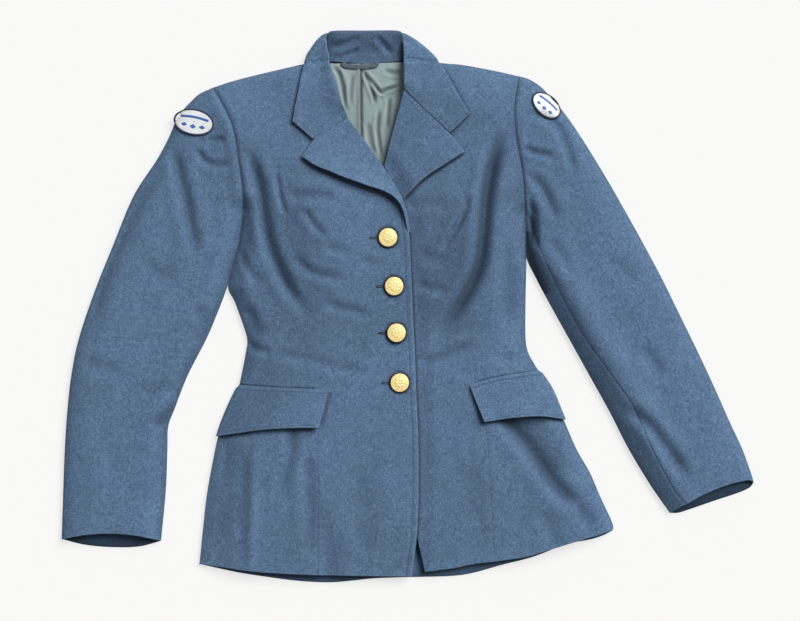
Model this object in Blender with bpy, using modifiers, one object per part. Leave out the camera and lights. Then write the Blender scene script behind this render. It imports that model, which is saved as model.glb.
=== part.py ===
"""A fitted uniform jacket of blue-grey wool, laid out flat on its back with the front upwards.

+X is the wearer's left, +Y runs up towards the collar, and +Z is up from the surface that the
jacket lies on. Sizes in the tables are millimetres. The origin is on that surface, under the
middle of the outline.

The shell is a flattened tube. Its underside is flat, its side folds turn up to FOLD_RISE, and the
front rises from there to a crown. Every panel takes its points from that one form, and what lies
on a panel is moved out from it.
"""

import math
from collections import namedtuple

import bmesh
import bpy
import numpy as np
from mathutils import Vector
from mathutils.bvhtree import BVHTree

MM = 0.001
JACKET = bpy.data.collections.new("uniform_jacket")

# Cloth thicknesses
CLOTH = 1.7  # wool with its interlining
COLLAR_CLOTH = 2.8  # two layers of wool round a canvas
LAPEL_CLOTH = 2.6
FLAP_CLOTH = 2.2
STAND_CLOTH = 1.8
LINING_CLOTH = 1.0
BADGE_CLOTH = 1.3
LOOP_CLOTH = 1.4

SEAM = 0.3  # between pieces that are sewn together
SEAM_SHIFT = 0.35  # how far each side of an armhole keeps from the seam line
CENTRE_SHIFT = 0.17  # the same at the centre back

# The flattened tube
FOLD_RISE = 4.0  # height of the side seams, where the front and the back meet
FOLD_RUN = 1.2  # upright run above and below a side seam
EDGE_CROWN = 13.0  # rise of the upper cloth beside a fold
EDGE_REACH = 50.0  # how far from a fold that rise takes
WIDE_REACH = 125.0  # how far from a fold the fuller forms take
NECK_LIFT = 3.2  # the collar lies under the back of the neck and lifts it
NECK_MIDDLE = -46.0

# Bands of the grid beside a fold, in mm from it
OVER_INSETS = (0.6, 2.5, 8.0)
UNDER_INSETS = (0.8, 3.2)

# Clear gaps that allow for the facets of two pieces that lie on each other
LAPEL_GAP = 0.6
COLLAR_GAP = 0.9
BADGE_GAP = 0.7
BUTTON_GAP = 0.45
FLAP_GAP = 0.8
DIP_GAP = 1.1
LINING_GAP = 0.6

# Fuller and flatter places of the front: middle, reach across and along, and rise
Form = namedtuple("Form", "x y across along rise")
FORMS = (
    Form(-112, 92, 62, 78, 15),  # right bust
    Form(62, 92, 58, 78, 15),  # left bust
    Form(-205, 232, 48, 42, 8),  # right shoulder pad
    Form(112, 244, 48, 42, 8),  # left shoulder pad
    Form(-28, -52, 120, 42, -4),  # waist
    Form(-150, -200, 90, 90, 4),  # right hip
    Form(120, -190, 90, 90, 4),  # left hip
    Form(-20, -335, 260, 45, -4),  # hem
    Form(-55, 215, 50, 70, -3),  # hollow under the lapels
)

# Outlines, as x and y of points on them. Right and left are the wearer's.
RIGHT_SHOULDER = (
    (-101, 306), (-118, 303.5), (-132, 301.5), (-166, 294), (-196, 287), (-222, 280), (-243, 273),
)
RIGHT_ARMHOLE = ((-243, 273), (-223, 237), (-215, 213), (-210, 179), (-205.5, 145), (-205, 118))
RIGHT_SLEEVE_OUTER = (
    (-243, 273), (-260, 265), (-272, 254), (-282, 243), (-291, 228), (-298, 211), (-313, 183),
    (-342, 138), (-367, 78), (-391, 18), (-411, -42), (-420, -87), (-425, -132), (-428, -177),
    (-430, -230), (-432, -291),
)
RIGHT_SLEEVE_INNER = (
    (-205, 118), (-212.5, 75), (-227.5, 28), (-240, -12), (-252, -42), (-275, -87), (-291, -128),
    (-299, -150), (-300, -180), (-302, -230), (-308, -293),
)
RIGHT_CUFF_OVER = ((-432, -291), (-403, -285), (-368, -283), (-335, -286), (-308, -293))
RIGHT_CUFF_UNDER = ((-432, -291), (-403, -298), (-368, -301), (-335, -300), (-308, -293))
RIGHT_SIDE_ABOVE = ((-205, 118), (-211, 75), (-224.5, 28), (-215, 3), (-201, -38), (-202, -57), (-210, -98))
RIGHT_SIDE_BELOW = (
    (-210, -98), (-225, -130), (-236, -160), (-243, -192), (-251, -237), (-256, -282), (-260, -322),
)

LEFT_SHOULDER = ((-2, 308), (18, 306), (36, 304), (50, 302.5), (69, 301), (108, 294), (139, 287))
LEFT_ARMHOLE = ((139, 287), (133, 249), (135, 211), (143, 165), (145.5, 133), (147, 112))
LEFT_SLEEVE_OUTER = (
    (139, 287), (152, 283), (167, 273), (179, 260), (194, 243), (215, 213), (243, 168), (269, 123),
    (294, 78), (318, 33), (340, -12), (362, -57), (383, -102), (403, -147), (417, -177),
    (428, -207), (432, -220),
)
LEFT_SLEEVE_INNER = (
    (147, 112), (150, 57), (162, 33), (177, 3), (202, -42), (227, -87), (252, -132), (275, -177),
    (302, -222), (327, -258),
)
LEFT_FOREARM_SEAM = (
    (146.5, 124), (153, 105), (167, 64), (211, -25), (255, -89), (281, -127), (307, -185),
    (332, -230), (346, -246.5),
)
LEFT_CUFF_OVER = (
    (432, -220), (427, -217), (416, -218), (396, -223), (371, -233), (346, -246.5), (327, -258),
)
LEFT_CUFF_UNDER = (
    (432, -220), (428, -226), (413, -233), (383, -243), (354, -253), (338, -258), (327, -258),
)
LEFT_SIDE_ABOVE = ((147, 112), (148, 57), (147, 3), (147, -38), (150, -57), (158, -72), (163, -80))
LEFT_SIDE_BELOW = (
    (163, -80), (178, -102), (190, -130), (210, -177), (227, -207), (240, -237), (254, -267), (257, -278),
)

# The fronts, from the neck down the roll line of the lapel and the front edge
RIGHT_ROLL = ((-98, 305), (-88, 275), (-75, 233), (-58, 212), (-31, 175), (-16, 149), (-4, 124))
RIGHT_EDGE_ABOVE = ((-4, 124), (2, 87), (4, 45), (6, 0), (9, -60), (10.5, -106))
RIGHT_EDGE_BELOW = ((10.5, -106), (13, -160), (13.5, -210), (12, -277), (5, -337))
LEFT_ROLL = ((-5, 307), (-5, 273), (-17, 220), (-31, 175), (-40, 133))
LEFT_EDGE_ABOVE = ((-40, 133), (-40, 83), (-33, 25), (-30, -33), (-24, -102))
LEFT_EDGE_BELOW = ((-24, -102), (-17, -155), (-3, -230), (11, -287), (21, -331))

# Waist line at the pockets, and the seam below each pocket
RIGHT_POCKET_SEAM = ((-210, -98), (-157, -101), (-115, -102.5))
RIGHT_WAIST_REST = ((-115, -102.5), (-50, -104), (10.5, -106))
RIGHT_SKIRT_SEAM = ((-115, -102.5), (-112, -155), (-112, -335))
LEFT_POCKET_SEAM = ((163, -80), (127, -85), (97, -91), (82, -96))
LEFT_WAIST_REST = ((82, -96), (30, -99), (-24, -102))
LEFT_SKIRT_SEAM = ((82, -96), (97, -150), (108, -318))

RIGHT_HEM_SIDE = ((-260, -322), (-233, -325), (-196, -330), (-157, -333), (-112, -335))
RIGHT_HEM_FRONT = ((-112, -335), (-81, -335.5), (-52, -336), (-23, -336.5), (5, -337))
LEFT_HEM_SIDE = ((257, -278), (237, -285), (219, -290), (177, -303), (147, -312), (108, -318))
LEFT_HEM_FRONT = ((108, -318), (82, -321), (58, -326), (21, -331))
BACK_HEM_RIGHT = (
    (-260, -322), (-215, -332), (-177, -338), (-138, -343), (-100, -345), (-71, -343), (-42, -340),
    (0, -338.5),
)
BACK_HEM_LEFT = (
    (257, -278), (253, -282), (237, -289), (220, -293), (198, -297), (157, -313), (118, -323),
    (82, -333), (54, -337), (0, -338.5),
)
BACK_NECK_RIGHT = ((-101, 306), (-76, 303), (-52, 302.5))
BACK_NECK_LEFT = ((-2, 308), (-28, 303.5), (-52, 302.5))
CENTRE_BACK = ((-52, 302.5), (-40, 120), (-28, -60), (0, -338.5))

# Turned-back fronts
RIGHT_GORGE_END = ((-75, 233), (-118, 209), (-134, 190))
RIGHT_LAPEL_OUTER = ((-134, 190), (-90, 167), (-41, 150), (-21, 138), (-9, 126.5))
RIGHT_LAPEL_ROLL = ((-75, 233), (-58, 212), (-31, 175), (-16, 149), (-6, 128))
LEFT_GORGE_END = ((-4, 270), (53, 216), (73, 194))
LEFT_LAPEL_OUTER = ((73, 194), (44, 177), (-4.5, 134.5))
LEFT_LAPEL_ROLL = ((-4, 270), (-17, 220), (-29.5, 176))
LEFT_LAPEL_TUCK = ((-29.5, 176), (-16, 154), (-4.5, 134.5))
LAPEL_LIFT = 5.0  # how far the loose edge of the right lapel stands off the front
LEFT_LAPEL_LIFT = 1.0

# Collar: each section crosses the fall from its roll to its outer edge. Over the shoulder the fall
# turns round its side, at side_x and side_y, and runs back under the neck to end_x and end_y.
Fall = namedtuple("Fall", "roll_x roll_y roll_z side_x side_y end_x end_y")
FALL_UNDER = (
    Fall(-98.5, 312, 14, -127.5, 312, -122, 308),
    Fall(-99.5, 319, 13, -123, 319, -116, 298),
    Fall(-100, 330, 10.5, -113, 334, -106, 288),
    Fall(-98, 337, 9.2, -101.5, 344, -95, 284),
    Fall(-81, 337, 9, -82, 344, -80, 281),
    Fall(-52, 336.5, 9, -52, 343.2, -52, 280),
    Fall(-26, 337, 9, -26, 344.3, -26, 281),
    Fall(-8.5, 337.5, 9.2, -6, 345, -9, 284),
    Fall(-6.5, 331, 10.5, 8, 335, 6, 288),
    Fall(-6, 322, 13, 24, 323, 22, 298),
    Fall(-5.5, 313, 14, 37, 312.5, 34, 308),
)
Leaf = namedtuple("Leaf", "roll_x roll_y end_x end_y")
RIGHT_LEAF = (
    Leaf(-80, 250, -141, 249),
    Leaf(-86.5, 270, -137, 266),
    Leaf(-92.5, 290, -133, 287),
    Leaf(-97.5, 305, -130.5, 304),
)
LEFT_LEAF = (
    Leaf(-5.5, 305, 41.5, 306),
    Leaf(-5, 292, 47, 288),
    Leaf(-4.7, 282, 57, 271),
    Leaf(-4.3, 275, 68, 255),
)
RIGHT_LEAF_END = ((-75.5, 234.5), (-118.5, 210.5), (-144, 232))
LEFT_LEAF_END = ((-4, 271), (54, 217.5), (78, 241))
FALL_TURN = 9.0  # height of the fall where it turns round its side
FALL_RUN_STEPS = 3  # from the roll to the turn, and from the turn to the end
FALL_TURN_STEPS = 4
FALL_STEPS = 2 * FALL_RUN_STEPS + FALL_TURN_STEPS
FALL_BAND = 0.16  # share of the leaf that rises towards the roll
FALL_ROLL_RISE = 2.0

# Inside of the back neck
NECK_SEAM = ((-96, 304.5), (-52, 302.6), (-8, 305.5))
STAND_TOP = ((-95, 335.5), (-52, 335.2), (-11, 336))
STAND_SIDE_RISE = 4.5
STAND_STEPS = 8
LINING_RIGHT = ((-94, 301.5), (-88, 260), (-70, 158))
LINING_LEFT = ((-10, 302), (-6, 260), (2, 158))
LOOP_SPAN = (-81, -38)
LOOP_WIDTH = 4.5
LOOP_SAG = 3.5
LOOP_TOP = 301.4

# Pocket flaps: top edge and lower edge from the side inwards
RIGHT_FLAP_TOP = ((-210, -98), (-157, -101), (-99, -104))
RIGHT_FLAP_LOWER = ((-236, -161), (-186, -158), (-138, -155), (-111, -152))
LEFT_FLAP_TOP = ((163, -80), (127, -85), (97, -91), (76, -98))
LEFT_FLAP_LOWER = ((197, -142), (167, -138), (137, -140), (96, -146))
FLAP_LIFT = 2.5

# Sleeve badges: middle, half width across the sleeve, half height and turn of the long axis
Badge = namedtuple("Badge", "x y half_width half_height turn")
RIGHT_BADGE = Badge(-266, 229, 25, 15.5, -12)
LEFT_BADGE = Badge(172.5, 250, 20, 12.5, -40)
BADGE_RINGS = (0.0, 0.4, 0.75, 1.0)
BADGE_SIDES = 16

# Buttons: where each one is sewn, from the top
BUTTONS = ((-24, 87), (-17, 25), (-14, -33), (-10, -95))
SHANK_RADIUS = 3.4
BUTTON_PROFILE = (  # radius and height from the cloth
    (0.0, 0.0), (SHANK_RADIUS, 0.0), (SHANK_RADIUS, 2.2), (11.6, 2.6), (12.2, 3.7), (10.6, 5.0),
    (6.0, 6.5), (0.0, 7.0),
)
BUTTON_STEPS = 16

COLOURS = {  # linear base colour, roughness, metallic
    "wool": ((0.088, 0.152, 0.246), 0.9, 0.0),
    "lining": ((0.24, 0.31, 0.33), 0.55, 0.0),
    "loop": ((0.12, 0.14, 0.17), 0.7, 0.0),
    "badge": ((0.75, 0.78, 0.8), 0.8, 0.0),
    "gilt": ((0.75, 0.52, 0.2), 0.3, 1.0),
}


def clear_scene():
    for item in list(bpy.data.objects):
        bpy.data.objects.remove(item, do_unlink=True)


def smooth_curve(points, steps=10):
    """A dense Catmull-Rom curve through the points."""
    knots = np.array(points, float)
    if len(knots) == 2:
        shares = np.linspace(0, 1, steps + 1)[:, None]
        return knots[0] + shares * (knots[1] - knots[0])
    padded = np.vstack([2 * knots[0] - knots[1], knots, 2 * knots[-1] - knots[-2]])
    pieces = []
    for i in range(len(knots) - 1):
        before, start, end, after = padded[i : i + 4]
        t = np.linspace(0, 1, steps, endpoint=False)[:, None]
        pieces.append(
            0.5
            * (
                2 * start
                + (end - before) * t
                + (2 * before - 5 * start + 4 * end - after) * t**2
                + (3 * start - before - 3 * end + after) * t**3
            )
        )
    return np.vstack([*pieces, knots[-1:]])


class Edge:
    """A curve in plan that is read by the share of its length."""

    def __init__(self, *tables, shift=0.0, bent=False):
        dense = [np.array(t, float) if bent else smooth_curve(t) for t in tables]
        self.line = np.vstack([dense[0]] + [d[1:] for d in dense[1:]]) + (shift, 0.0)
        runs = np.linalg.norm(np.diff(self.line, axis=0), axis=1)
        self.along = np.concatenate([[0.0], np.cumsum(runs)])
        self.length = self.along[-1]

    def at(self, share):
        place = np.clip(share, 0, 1) * self.length
        return np.stack([np.interp(place, self.along, self.line[:, k]) for k in (0, 1)], axis=-1)

    def part(self, start, end):
        """The stretch of this edge between two shares."""
        return Edge([tuple(p) for p in self.at(np.linspace(start, end, 40))], bent=True)


FOLD_LINES = [
    smooth_curve(RIGHT_SHOULDER), smooth_curve(RIGHT_SLEEVE_OUTER), smooth_curve(RIGHT_SLEEVE_INNER),
    smooth_curve(RIGHT_SIDE_ABOVE), smooth_curve(RIGHT_SIDE_BELOW), smooth_curve(LEFT_SHOULDER),
    smooth_curve(LEFT_SLEEVE_OUTER), smooth_curve(LEFT_SLEEVE_INNER), smooth_curve(LEFT_SIDE_ABOVE),
    smooth_curve(LEFT_SIDE_BELOW),
]


def distance_to(lines, plan):
    """Shortest distance in plan from each point to the lines."""
    points = np.asarray(plan, float)
    best = np.full(points.shape[:-1], 1e9)
    for line in lines:
        for start, end in zip(line[:-1], line[1:]):
            run = end - start
            share = np.clip(((points - start) @ run) / (run @ run), 0, 1)
            gap = np.linalg.norm(points - start - share[..., None] * run, axis=-1)
            best = np.minimum(best, gap)
    return best


def round_off(distance, reach):
    """0 at a fold with an upright start, and 1 from its reach on: a quarter ellipse."""
    left = 1 - np.clip(distance / reach, 0, 1)
    return np.sqrt(1 - left**2)


def soft_step(value, low, high):
    t = np.clip((value - low) / (high - low), 0, 1)
    return t * t * (3 - 2 * t)


def neck_lift(plan):
    """The back of the neck rests on the collar's fall."""
    x, y = plan[..., 0], plan[..., 1]
    return NECK_LIFT * soft_step(y, 215, 280) * (1 - soft_step(np.abs(x - NECK_MIDDLE), 88, 150))


def front_height(plan):
    """Height of the outside of the upper cloth."""
    gap = distance_to(FOLD_LINES, plan)
    x, y = plan[..., 0], plan[..., 1]
    full = sum(f.rise * np.exp(-(((x - f.x) / f.across) ** 2) - ((y - f.y) / f.along) ** 2) for f in FORMS)
    rise = EDGE_CROWN * round_off(gap, EDGE_REACH) + full * round_off(gap, WIDE_REACH)
    return FOLD_RISE + FOLD_RUN + rise + neck_lift(plan)


def left_front_height(plan):
    """The left front dips under the edge of the right front."""
    y = plan[..., 1]
    edge = np.interp(-y, [-p[1] for p in OVERLAP_EDGE], [p[0] for p in OVERLAP_EDGE])
    under = 1 - soft_step(plan[..., 0] - edge, 6, 46)
    return front_height(plan) - (CLOTH + DIP_GAP) * under


OVERLAP_EDGE = [p for line in (RIGHT_ROLL, RIGHT_EDGE_ABOVE, RIGHT_EDGE_BELOW) for p in line]


def under_height(plan):
    """Height of the outside of the under cloth: flat, and turned up at the folds."""
    turn = FOLD_RISE - FOLD_RUN
    gap = distance_to(FOLD_LINES, plan)
    arc = turn - np.sqrt(turn**2 - (turn - np.clip(gap, 0, turn)) ** 2)
    return arc + neck_lift(plan)


def surface_normal(height, plan, step=0.4):
    """Outward normal of a height form, level at a fold."""
    slope = [
        (height(plan + offset) - height(plan - offset)) / (2 * step)
        for offset in (np.array((step, 0.0)), np.array((0.0, step)))
    ]
    normal = np.stack([-slope[0], -slope[1], np.ones_like(slope[0])], axis=-1)
    return normal / np.linalg.norm(normal, axis=-1, keepdims=True)


def bow(edge, u):
    """How far an edge stands from the straight line between its ends."""
    return edge.at(u) - (1 - u) * edge.at(0.0) - u * edge.at(1.0)


def patch(left, right, top, bottom, rows, columns):
    """Plan points of a four-sided piece of cloth, by blending its four edges (a Coons patch).

    The left and right edges are met exactly. The top and bottom edges keep their bow.
    """
    grid = []
    for v in rows:
        start, end = left.at(v), right.at(v)
        length = top.length if v == 0 else np.linalg.norm(end - start)
        grid.append([
            (1 - u) * start + u * end + (1 - v) * bow(top, u) + v * bow(bottom, u)
            for u in columns(length)
        ])
    return np.array(grid)


def fold_to_edge(shares, insets):
    """Columns that start at a fold, doubled there for its upright run."""
    return lambda length: [0.0, 0.0] + [i / length for i in insets] + list(shares)


def fold_to_fold(shares, insets):
    """Columns between two folds."""
    def stations(length):
        near = [0.0, 0.0] + [i / length for i in insets]
        return near + list(shares) + [1 - s for s in reversed(near)]
    return stations


def side_rows(stations, armhole, side):
    """Rows down an armhole and a side seam, matched to the sleeve's columns at the armhole."""
    whole = armhole.length + side.length
    first = [s * armhole.length / whole for s in stations]
    return first, armhole.length / whole


GROUND = []  # a search tree for the outside of each panel that others lie on
GROUND_REACH = 5.0
BADGE_REACH = 4.5


def lay_ground(points, faces):
    GROUND.append(BVHTree.FromPolygons([Vector(p) for p in points], faces))


def ground_at(x, y):
    """Height of the highest cloth laid so far at one place."""
    hits = [tree.ray_cast(Vector((x, y, 200.0)), Vector((0, 0, -1)))[0] for tree in GROUND]
    return max((hit.z for hit in hits if hit is not None), default=FOLD_RISE)


def ground(plan, reach=GROUND_REACH):
    """Height of the highest cloth laid so far, at each point or close beside it."""
    around = ((0, 0), (reach, 0), (-reach, 0), (0, reach), (0, -reach))
    flat = np.reshape(plan, (-1, 2))
    heights = [max(ground_at(x + dx, y + dy) for dx, dy in around) for x, y in flat]
    return np.reshape(heights, np.shape(plan)[:-1])


def raised(plan, heights):
    return np.concatenate([plan, heights[..., None]], axis=-1)


def new_mesh(name, points, faces):
    mesh = bpy.data.meshes.new(name)
    mesh.from_pydata([tuple(p * MM) for p in points], [], faces)
    mesh.update()
    return mesh


def grid_faces(rows, columns, start=0, flip=False):
    faces = []
    for i in range(rows - 1):
        for j in range(columns - 1):
            a = start + i * columns + j
            quad = (a, a + columns, a + columns + 1, a + 1)
            faces.append(quad[::-1] if flip else quad)
    return faces


def make_material(kind):
    material = bpy.data.materials.get(kind)
    if material:
        return material
    material = bpy.data.materials.new(kind)
    material.use_nodes = True
    colour, roughness, metallic = COLOURS[kind]
    shader = material.node_tree.nodes["Principled BSDF"]
    shader.inputs["Base Color"].default_value = (*colour, 1)
    shader.inputs["Roughness"].default_value = roughness
    shader.inputs["Metallic"].default_value = metallic
    return material


def weld(mesh, distance=0.00001):
    """Joins the points that neighbouring grids share."""
    work = bmesh.new()
    work.from_mesh(mesh)
    bmesh.ops.remove_doubles(work, verts=work.verts, dist=distance)
    bmesh.ops.dissolve_degenerate(work, edges=work.edges, dist=distance)
    work.to_mesh(mesh)
    work.free()


def cloth(name, grids, thickness, kind="wool", flip=False, carries=False):
    """A wall of cloth: its outside through the grids of points, its thickness inwards.

    A panel that carries others is kept as their ground.
    """
    points, faces = [], []
    for grid in grids:
        rows, columns = grid.shape[:2]
        faces += grid_faces(rows, columns, len(points), flip)
        points += list(grid.reshape(-1, 3))
    if carries:
        lay_ground(points, faces)
    mesh = new_mesh(name, points, faces)
    weld(mesh)
    mesh.materials.append(make_material(kind))
    item = bpy.data.objects.new(name, mesh)
    JACKET.objects.link(item)
    shell = item.modifiers.new("thickness", "SOLIDIFY")
    shell.thickness = thickness * MM
    shell.offset = -1
    mesh.shade_smooth()
    return item


SLEEVE_SHARES = (0.2, 0.4, 0.6, 0.8)
LEFT_TOP_SHARES = (0.2, 0.42, 0.64, 0.84, 1.0)
TOP_SHARE = 0.93  # share of the left armhole where the forearm seam meets it
SLEEVE_ROWS = (0.0, 0.035, 0.075, 0.13, 0.22, 0.34, 0.47, 0.58, 0.71, 0.85, 1.0)
SIDE_STATIONS = (0.12, 0.28, 0.44, 0.58, 0.74, 0.88, 1.0)
SKIRT_ROWS = (0.0, 0.16, 0.33, 0.5, 0.67, 0.84, 1.0)
WAIST_SHARES = (0.25, 0.6)  # columns between the side and the seam below the pocket
FRONT_SHARES = (0.3, 0.65, 1.0)  # columns between that seam and the front edge


def level_front(plan, height, low_rows, low_columns):
    """Heights of a front grid, with its sewn points down at the side seam."""
    heights = height(plan)
    seam = FOLD_RISE + SEAM / 2 + neck_lift(plan)
    for i in low_rows:
        heights[i] = seam[i]
    for i, j in low_columns:
        heights[i, j] = seam[i, j]
    return heights


def level_under(plan, low):
    """Heights of an under grid: the doubled points at a fold lie on its upright run."""
    heights = under_height(plan)
    lift = neck_lift(plan)
    for (i, j), height in low.items():
        heights[i, j] = height + lift[i, j]
    return heights


def build_sleeve_right():
    armhole = Edge(RIGHT_ARMHOLE, shift=-SEAM_SHIFT)
    outer = Edge(RIGHT_SLEEVE_OUTER, shift=-SEAM_SHIFT)
    inner = Edge(RIGHT_SLEEVE_INNER, shift=-SEAM_SHIFT)
    columns = fold_to_fold(SLEEVE_SHARES, OVER_INSETS)
    last = len(columns(100.0)) - 1
    over = patch(outer, inner, armhole, Edge(RIGHT_CUFF_OVER), SLEEVE_ROWS, columns)
    heights = level_front(over, front_height, (), [(i, j) for i in range(len(over)) for j in (0, last)])
    cloth("right_top_sleeve", [raised(over, heights)], CLOTH, carries=True)
    columns = fold_to_fold(SLEEVE_SHARES, UNDER_INSETS)
    last = len(columns(100.0)) - 1
    under = patch(outer, inner, armhole, Edge(RIGHT_CUFF_UNDER), SLEEVE_ROWS, columns)
    low = {}
    for i in range(len(under)):
        low.update({(i, 0): FOLD_RISE - SEAM / 2, (i, last): FOLD_RISE - SEAM / 2})
    cloth("right_under_sleeve", [raised(under, level_under(under, low))], CLOTH, flip=True)


def build_sleeve_left():
    armhole = Edge(LEFT_ARMHOLE, shift=SEAM_SHIFT)
    outer = Edge(LEFT_SLEEVE_OUTER, shift=SEAM_SHIFT)
    inner = Edge(LEFT_SLEEVE_INNER, shift=SEAM_SHIFT)
    seam = Edge((armhole.at(TOP_SHARE), *LEFT_FOREARM_SEAM[1:]))
    below_seam = Edge(seam.line - 1.2 * SEAM, bent=True)
    cuff = Edge(LEFT_CUFF_OVER)
    cuff_share = share_at(cuff, LEFT_FOREARM_SEAM[-1])
    over = patch(
        outer, seam, armhole.part(0, TOP_SHARE), cuff.part(0, cuff_share), SLEEVE_ROWS,
        fold_to_edge(LEFT_TOP_SHARES, OVER_INSETS),
    )
    heights = level_front(over, front_height, (), [(i, 0) for i in range(len(over))])
    cloth("left_top_sleeve", [raised(over, heights)], CLOTH, flip=True, carries=True)

    columns = fold_to_fold(SLEEVE_SHARES, UNDER_INSETS)
    under = patch(outer, inner, armhole, Edge(LEFT_CUFF_UNDER), SLEEVE_ROWS, columns)
    under = under[:, :-1]
    low = {(i, 0): FOLD_RISE - SEAM / 2 for i in range(len(under))}
    lower = raised(under, level_under(under, low))
    strip = patch(
        inner, below_seam, armhole.part(1, TOP_SHARE), cuff.part(1, cuff_share), SLEEVE_ROWS,
        lambda length: [0.0] + [i / length for i in OVER_INSETS] + [1.0],
    )
    upper = raised(strip, front_height(strip))
    cloth("left_under_sleeve", [np.concatenate([lower, upper], axis=1)], CLOTH, carries=True)


def share_at(edge, point):
    """The share of an edge's length at the point of it nearest to a given one."""
    shares = np.linspace(0, 1, 801)
    gaps = np.linalg.norm(edge.at(shares) - np.array(point), axis=1)
    return float(shares[int(np.argmin(gaps))])


def armhole_stations(length, split, insets):
    """Where the sleeve's columns meet the armhole. split is true for the left upper side."""
    near = [i / length for i in insets]
    middle = [TOP_SHARE * s for s in LEFT_TOP_SHARES] if split else list(SLEEVE_SHARES)
    return [0.0, 0.0] + near + middle + [1 - s for s in reversed(near)] + [1.0]


def build_front(side, armhole, sides, shoulder, inner, pocket, rest, seam, hems, height, split, flip):
    """One front, from the shoulder to the hem, and the side panel of its skirt."""
    shift = SEAM_SHIFT if side == "right" else -SEAM_SHIFT
    arm = Edge(armhole, shift=shift)
    above = Edge(sides[0], shift=shift)
    stations, arm_share = side_rows(armhole_stations(arm.length, split, OVER_INSETS), arm, above)
    rows = stations + [arm_share + s * (1 - arm_share) for s in SIDE_STATIONS]
    outer = Edge(armhole, sides[0], shift=shift)
    roll_and_edge = Edge(inner[0], inner[1])
    waist = Edge(pocket, rest)
    pocket_share = Edge(pocket).length / waist.length
    shares = panel_shares(pocket_share)
    upper = patch(
        outer, roll_and_edge, Edge(shoulder).part(1, 0), waist, rows, fold_to_edge(shares, OVER_INSETS),
    )
    low = [(i, 0) for i in range(len(stations) - 1, len(rows))]
    top = raised(upper, level_front(upper, height, (0,), low))

    first = upper.shape[1] - len(FRONT_SHARES) - 1  # the column at the head of the skirt seam
    front_columns = (0.0, *FRONT_SHARES)
    lower = patch(
        Edge(seam), Edge(inner[2]), Edge(rest), Edge(hems[1]), SKIRT_ROWS, lambda length: front_columns,
    )
    lower[0] = upper[-1, first:]
    cloth(f"{side}_front", [top, raised(lower, height(lower))], CLOTH, flip=flip, carries=True)

    turn = 1 if side == "right" else -1
    below = patch(
        Edge(sides[1], shift=shift), Edge(seam, shift=-turn * 1.1 * SEAM), Edge(pocket), Edge(hems[0]),
        SKIRT_ROWS, fold_to_edge((*WAIST_SHARES, 1.0), OVER_INSETS),
    )
    below[..., 1] -= 1.2 * SEAM * (1 - soft_step(np.array(SKIRT_ROWS), 0.0, 0.2))[:, None]
    heights = level_front(below, height, (), [(i, 0) for i in range(len(below))])
    cloth(f"{side}_side_skirt", [raised(below, heights)], CLOTH, flip=flip, carries=True)


def panel_shares(pocket_share):
    """Columns of a front, as shares of its width from the side to the front edge."""
    return (
        [pocket_share * s for s in WAIST_SHARES]
        + [pocket_share]
        + [pocket_share + s * (1 - pocket_share) for s in FRONT_SHARES]
    )


def build_back(side, armhole, sides, shoulder, neck, hem, pocket, rest, flip):
    """One half of the back, flat on the surface, from the neck to the hem."""
    shift = SEAM_SHIFT if side == "right" else -SEAM_SHIFT
    arm = Edge(armhole, shift=shift)
    above = Edge(sides[0], shift=shift)
    whole = Edge(armhole, *sides, shift=shift)
    stations, _ = side_rows(armhole_stations(arm.length, False, UNDER_INSETS), arm, Edge(*sides, shift=shift))
    arm_share = arm.length / whole.length
    waist_share = (arm.length + above.length) / whole.length
    rows = stations + [arm_share + s * (waist_share - arm_share) for s in SIDE_STATIONS]
    rows += [waist_share + s * (1 - waist_share) for s in SKIRT_ROWS[1:]]
    top = Edge(shoulder[::-1], neck)
    shoulder_share = Edge(shoulder).length / top.length
    front_shares = panel_shares(Edge(pocket).length / Edge(pocket, rest).length)
    columns = fold_to_edge(
        [shoulder_share * s for s in front_shares] + [(1 + shoulder_share) / 2, 1.0], UNDER_INSETS
    )
    centre = Edge(CENTRE_BACK, shift=-CENTRE_SHIFT if side == "right" else CENTRE_SHIFT)
    plan = patch(whole, centre, top, Edge(hem), rows, columns)
    low = {(i, 0): FOLD_RISE - SEAM / 2 for i in range(len(stations) - 1, len(rows))}
    neck_column = plan.shape[1] - 3
    low.update({(0, j): FOLD_RISE - SEAM / 2 for j in range(neck_column + 1)})
    plan[0, neck_column + 1 :, 1] += 0.05  # keeps the doubled row of the neck edge apart
    heights = level_under(plan, low)
    cloth(f"back_{side}", [raised(plan, heights)], CLOTH, flip=flip)


def build_lapel(name, roll, outer, top, bottom, lift, flip):
    """A front turned back on itself. Its loose edge stands off the front."""
    rows = (0.0, 0.12, 0.26, 0.42, 0.58, 0.74, 0.88, 1.0)
    shares = (0.0, 0.12, 0.3, 0.5, 0.7, 0.88, 1.0)
    plan = patch(Edge(outer), Edge(roll), Edge(top[::-1], bent=True), bottom, rows, lambda length: shares)
    away = (1 - np.array(shares)) ** 1.5
    along = np.sin(math.pi * np.clip(np.array(rows) * 0.9 + 0.12, 0, 1))
    heights = ground(plan) + LAPEL_GAP + LAPEL_CLOTH + lift * along[:, None] * away[None, :]
    cloth(name, [raised(plan, heights)], LAPEL_CLOTH, flip=flip, carries=True)


def unit(vector):
    return vector / np.linalg.norm(vector)


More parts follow.
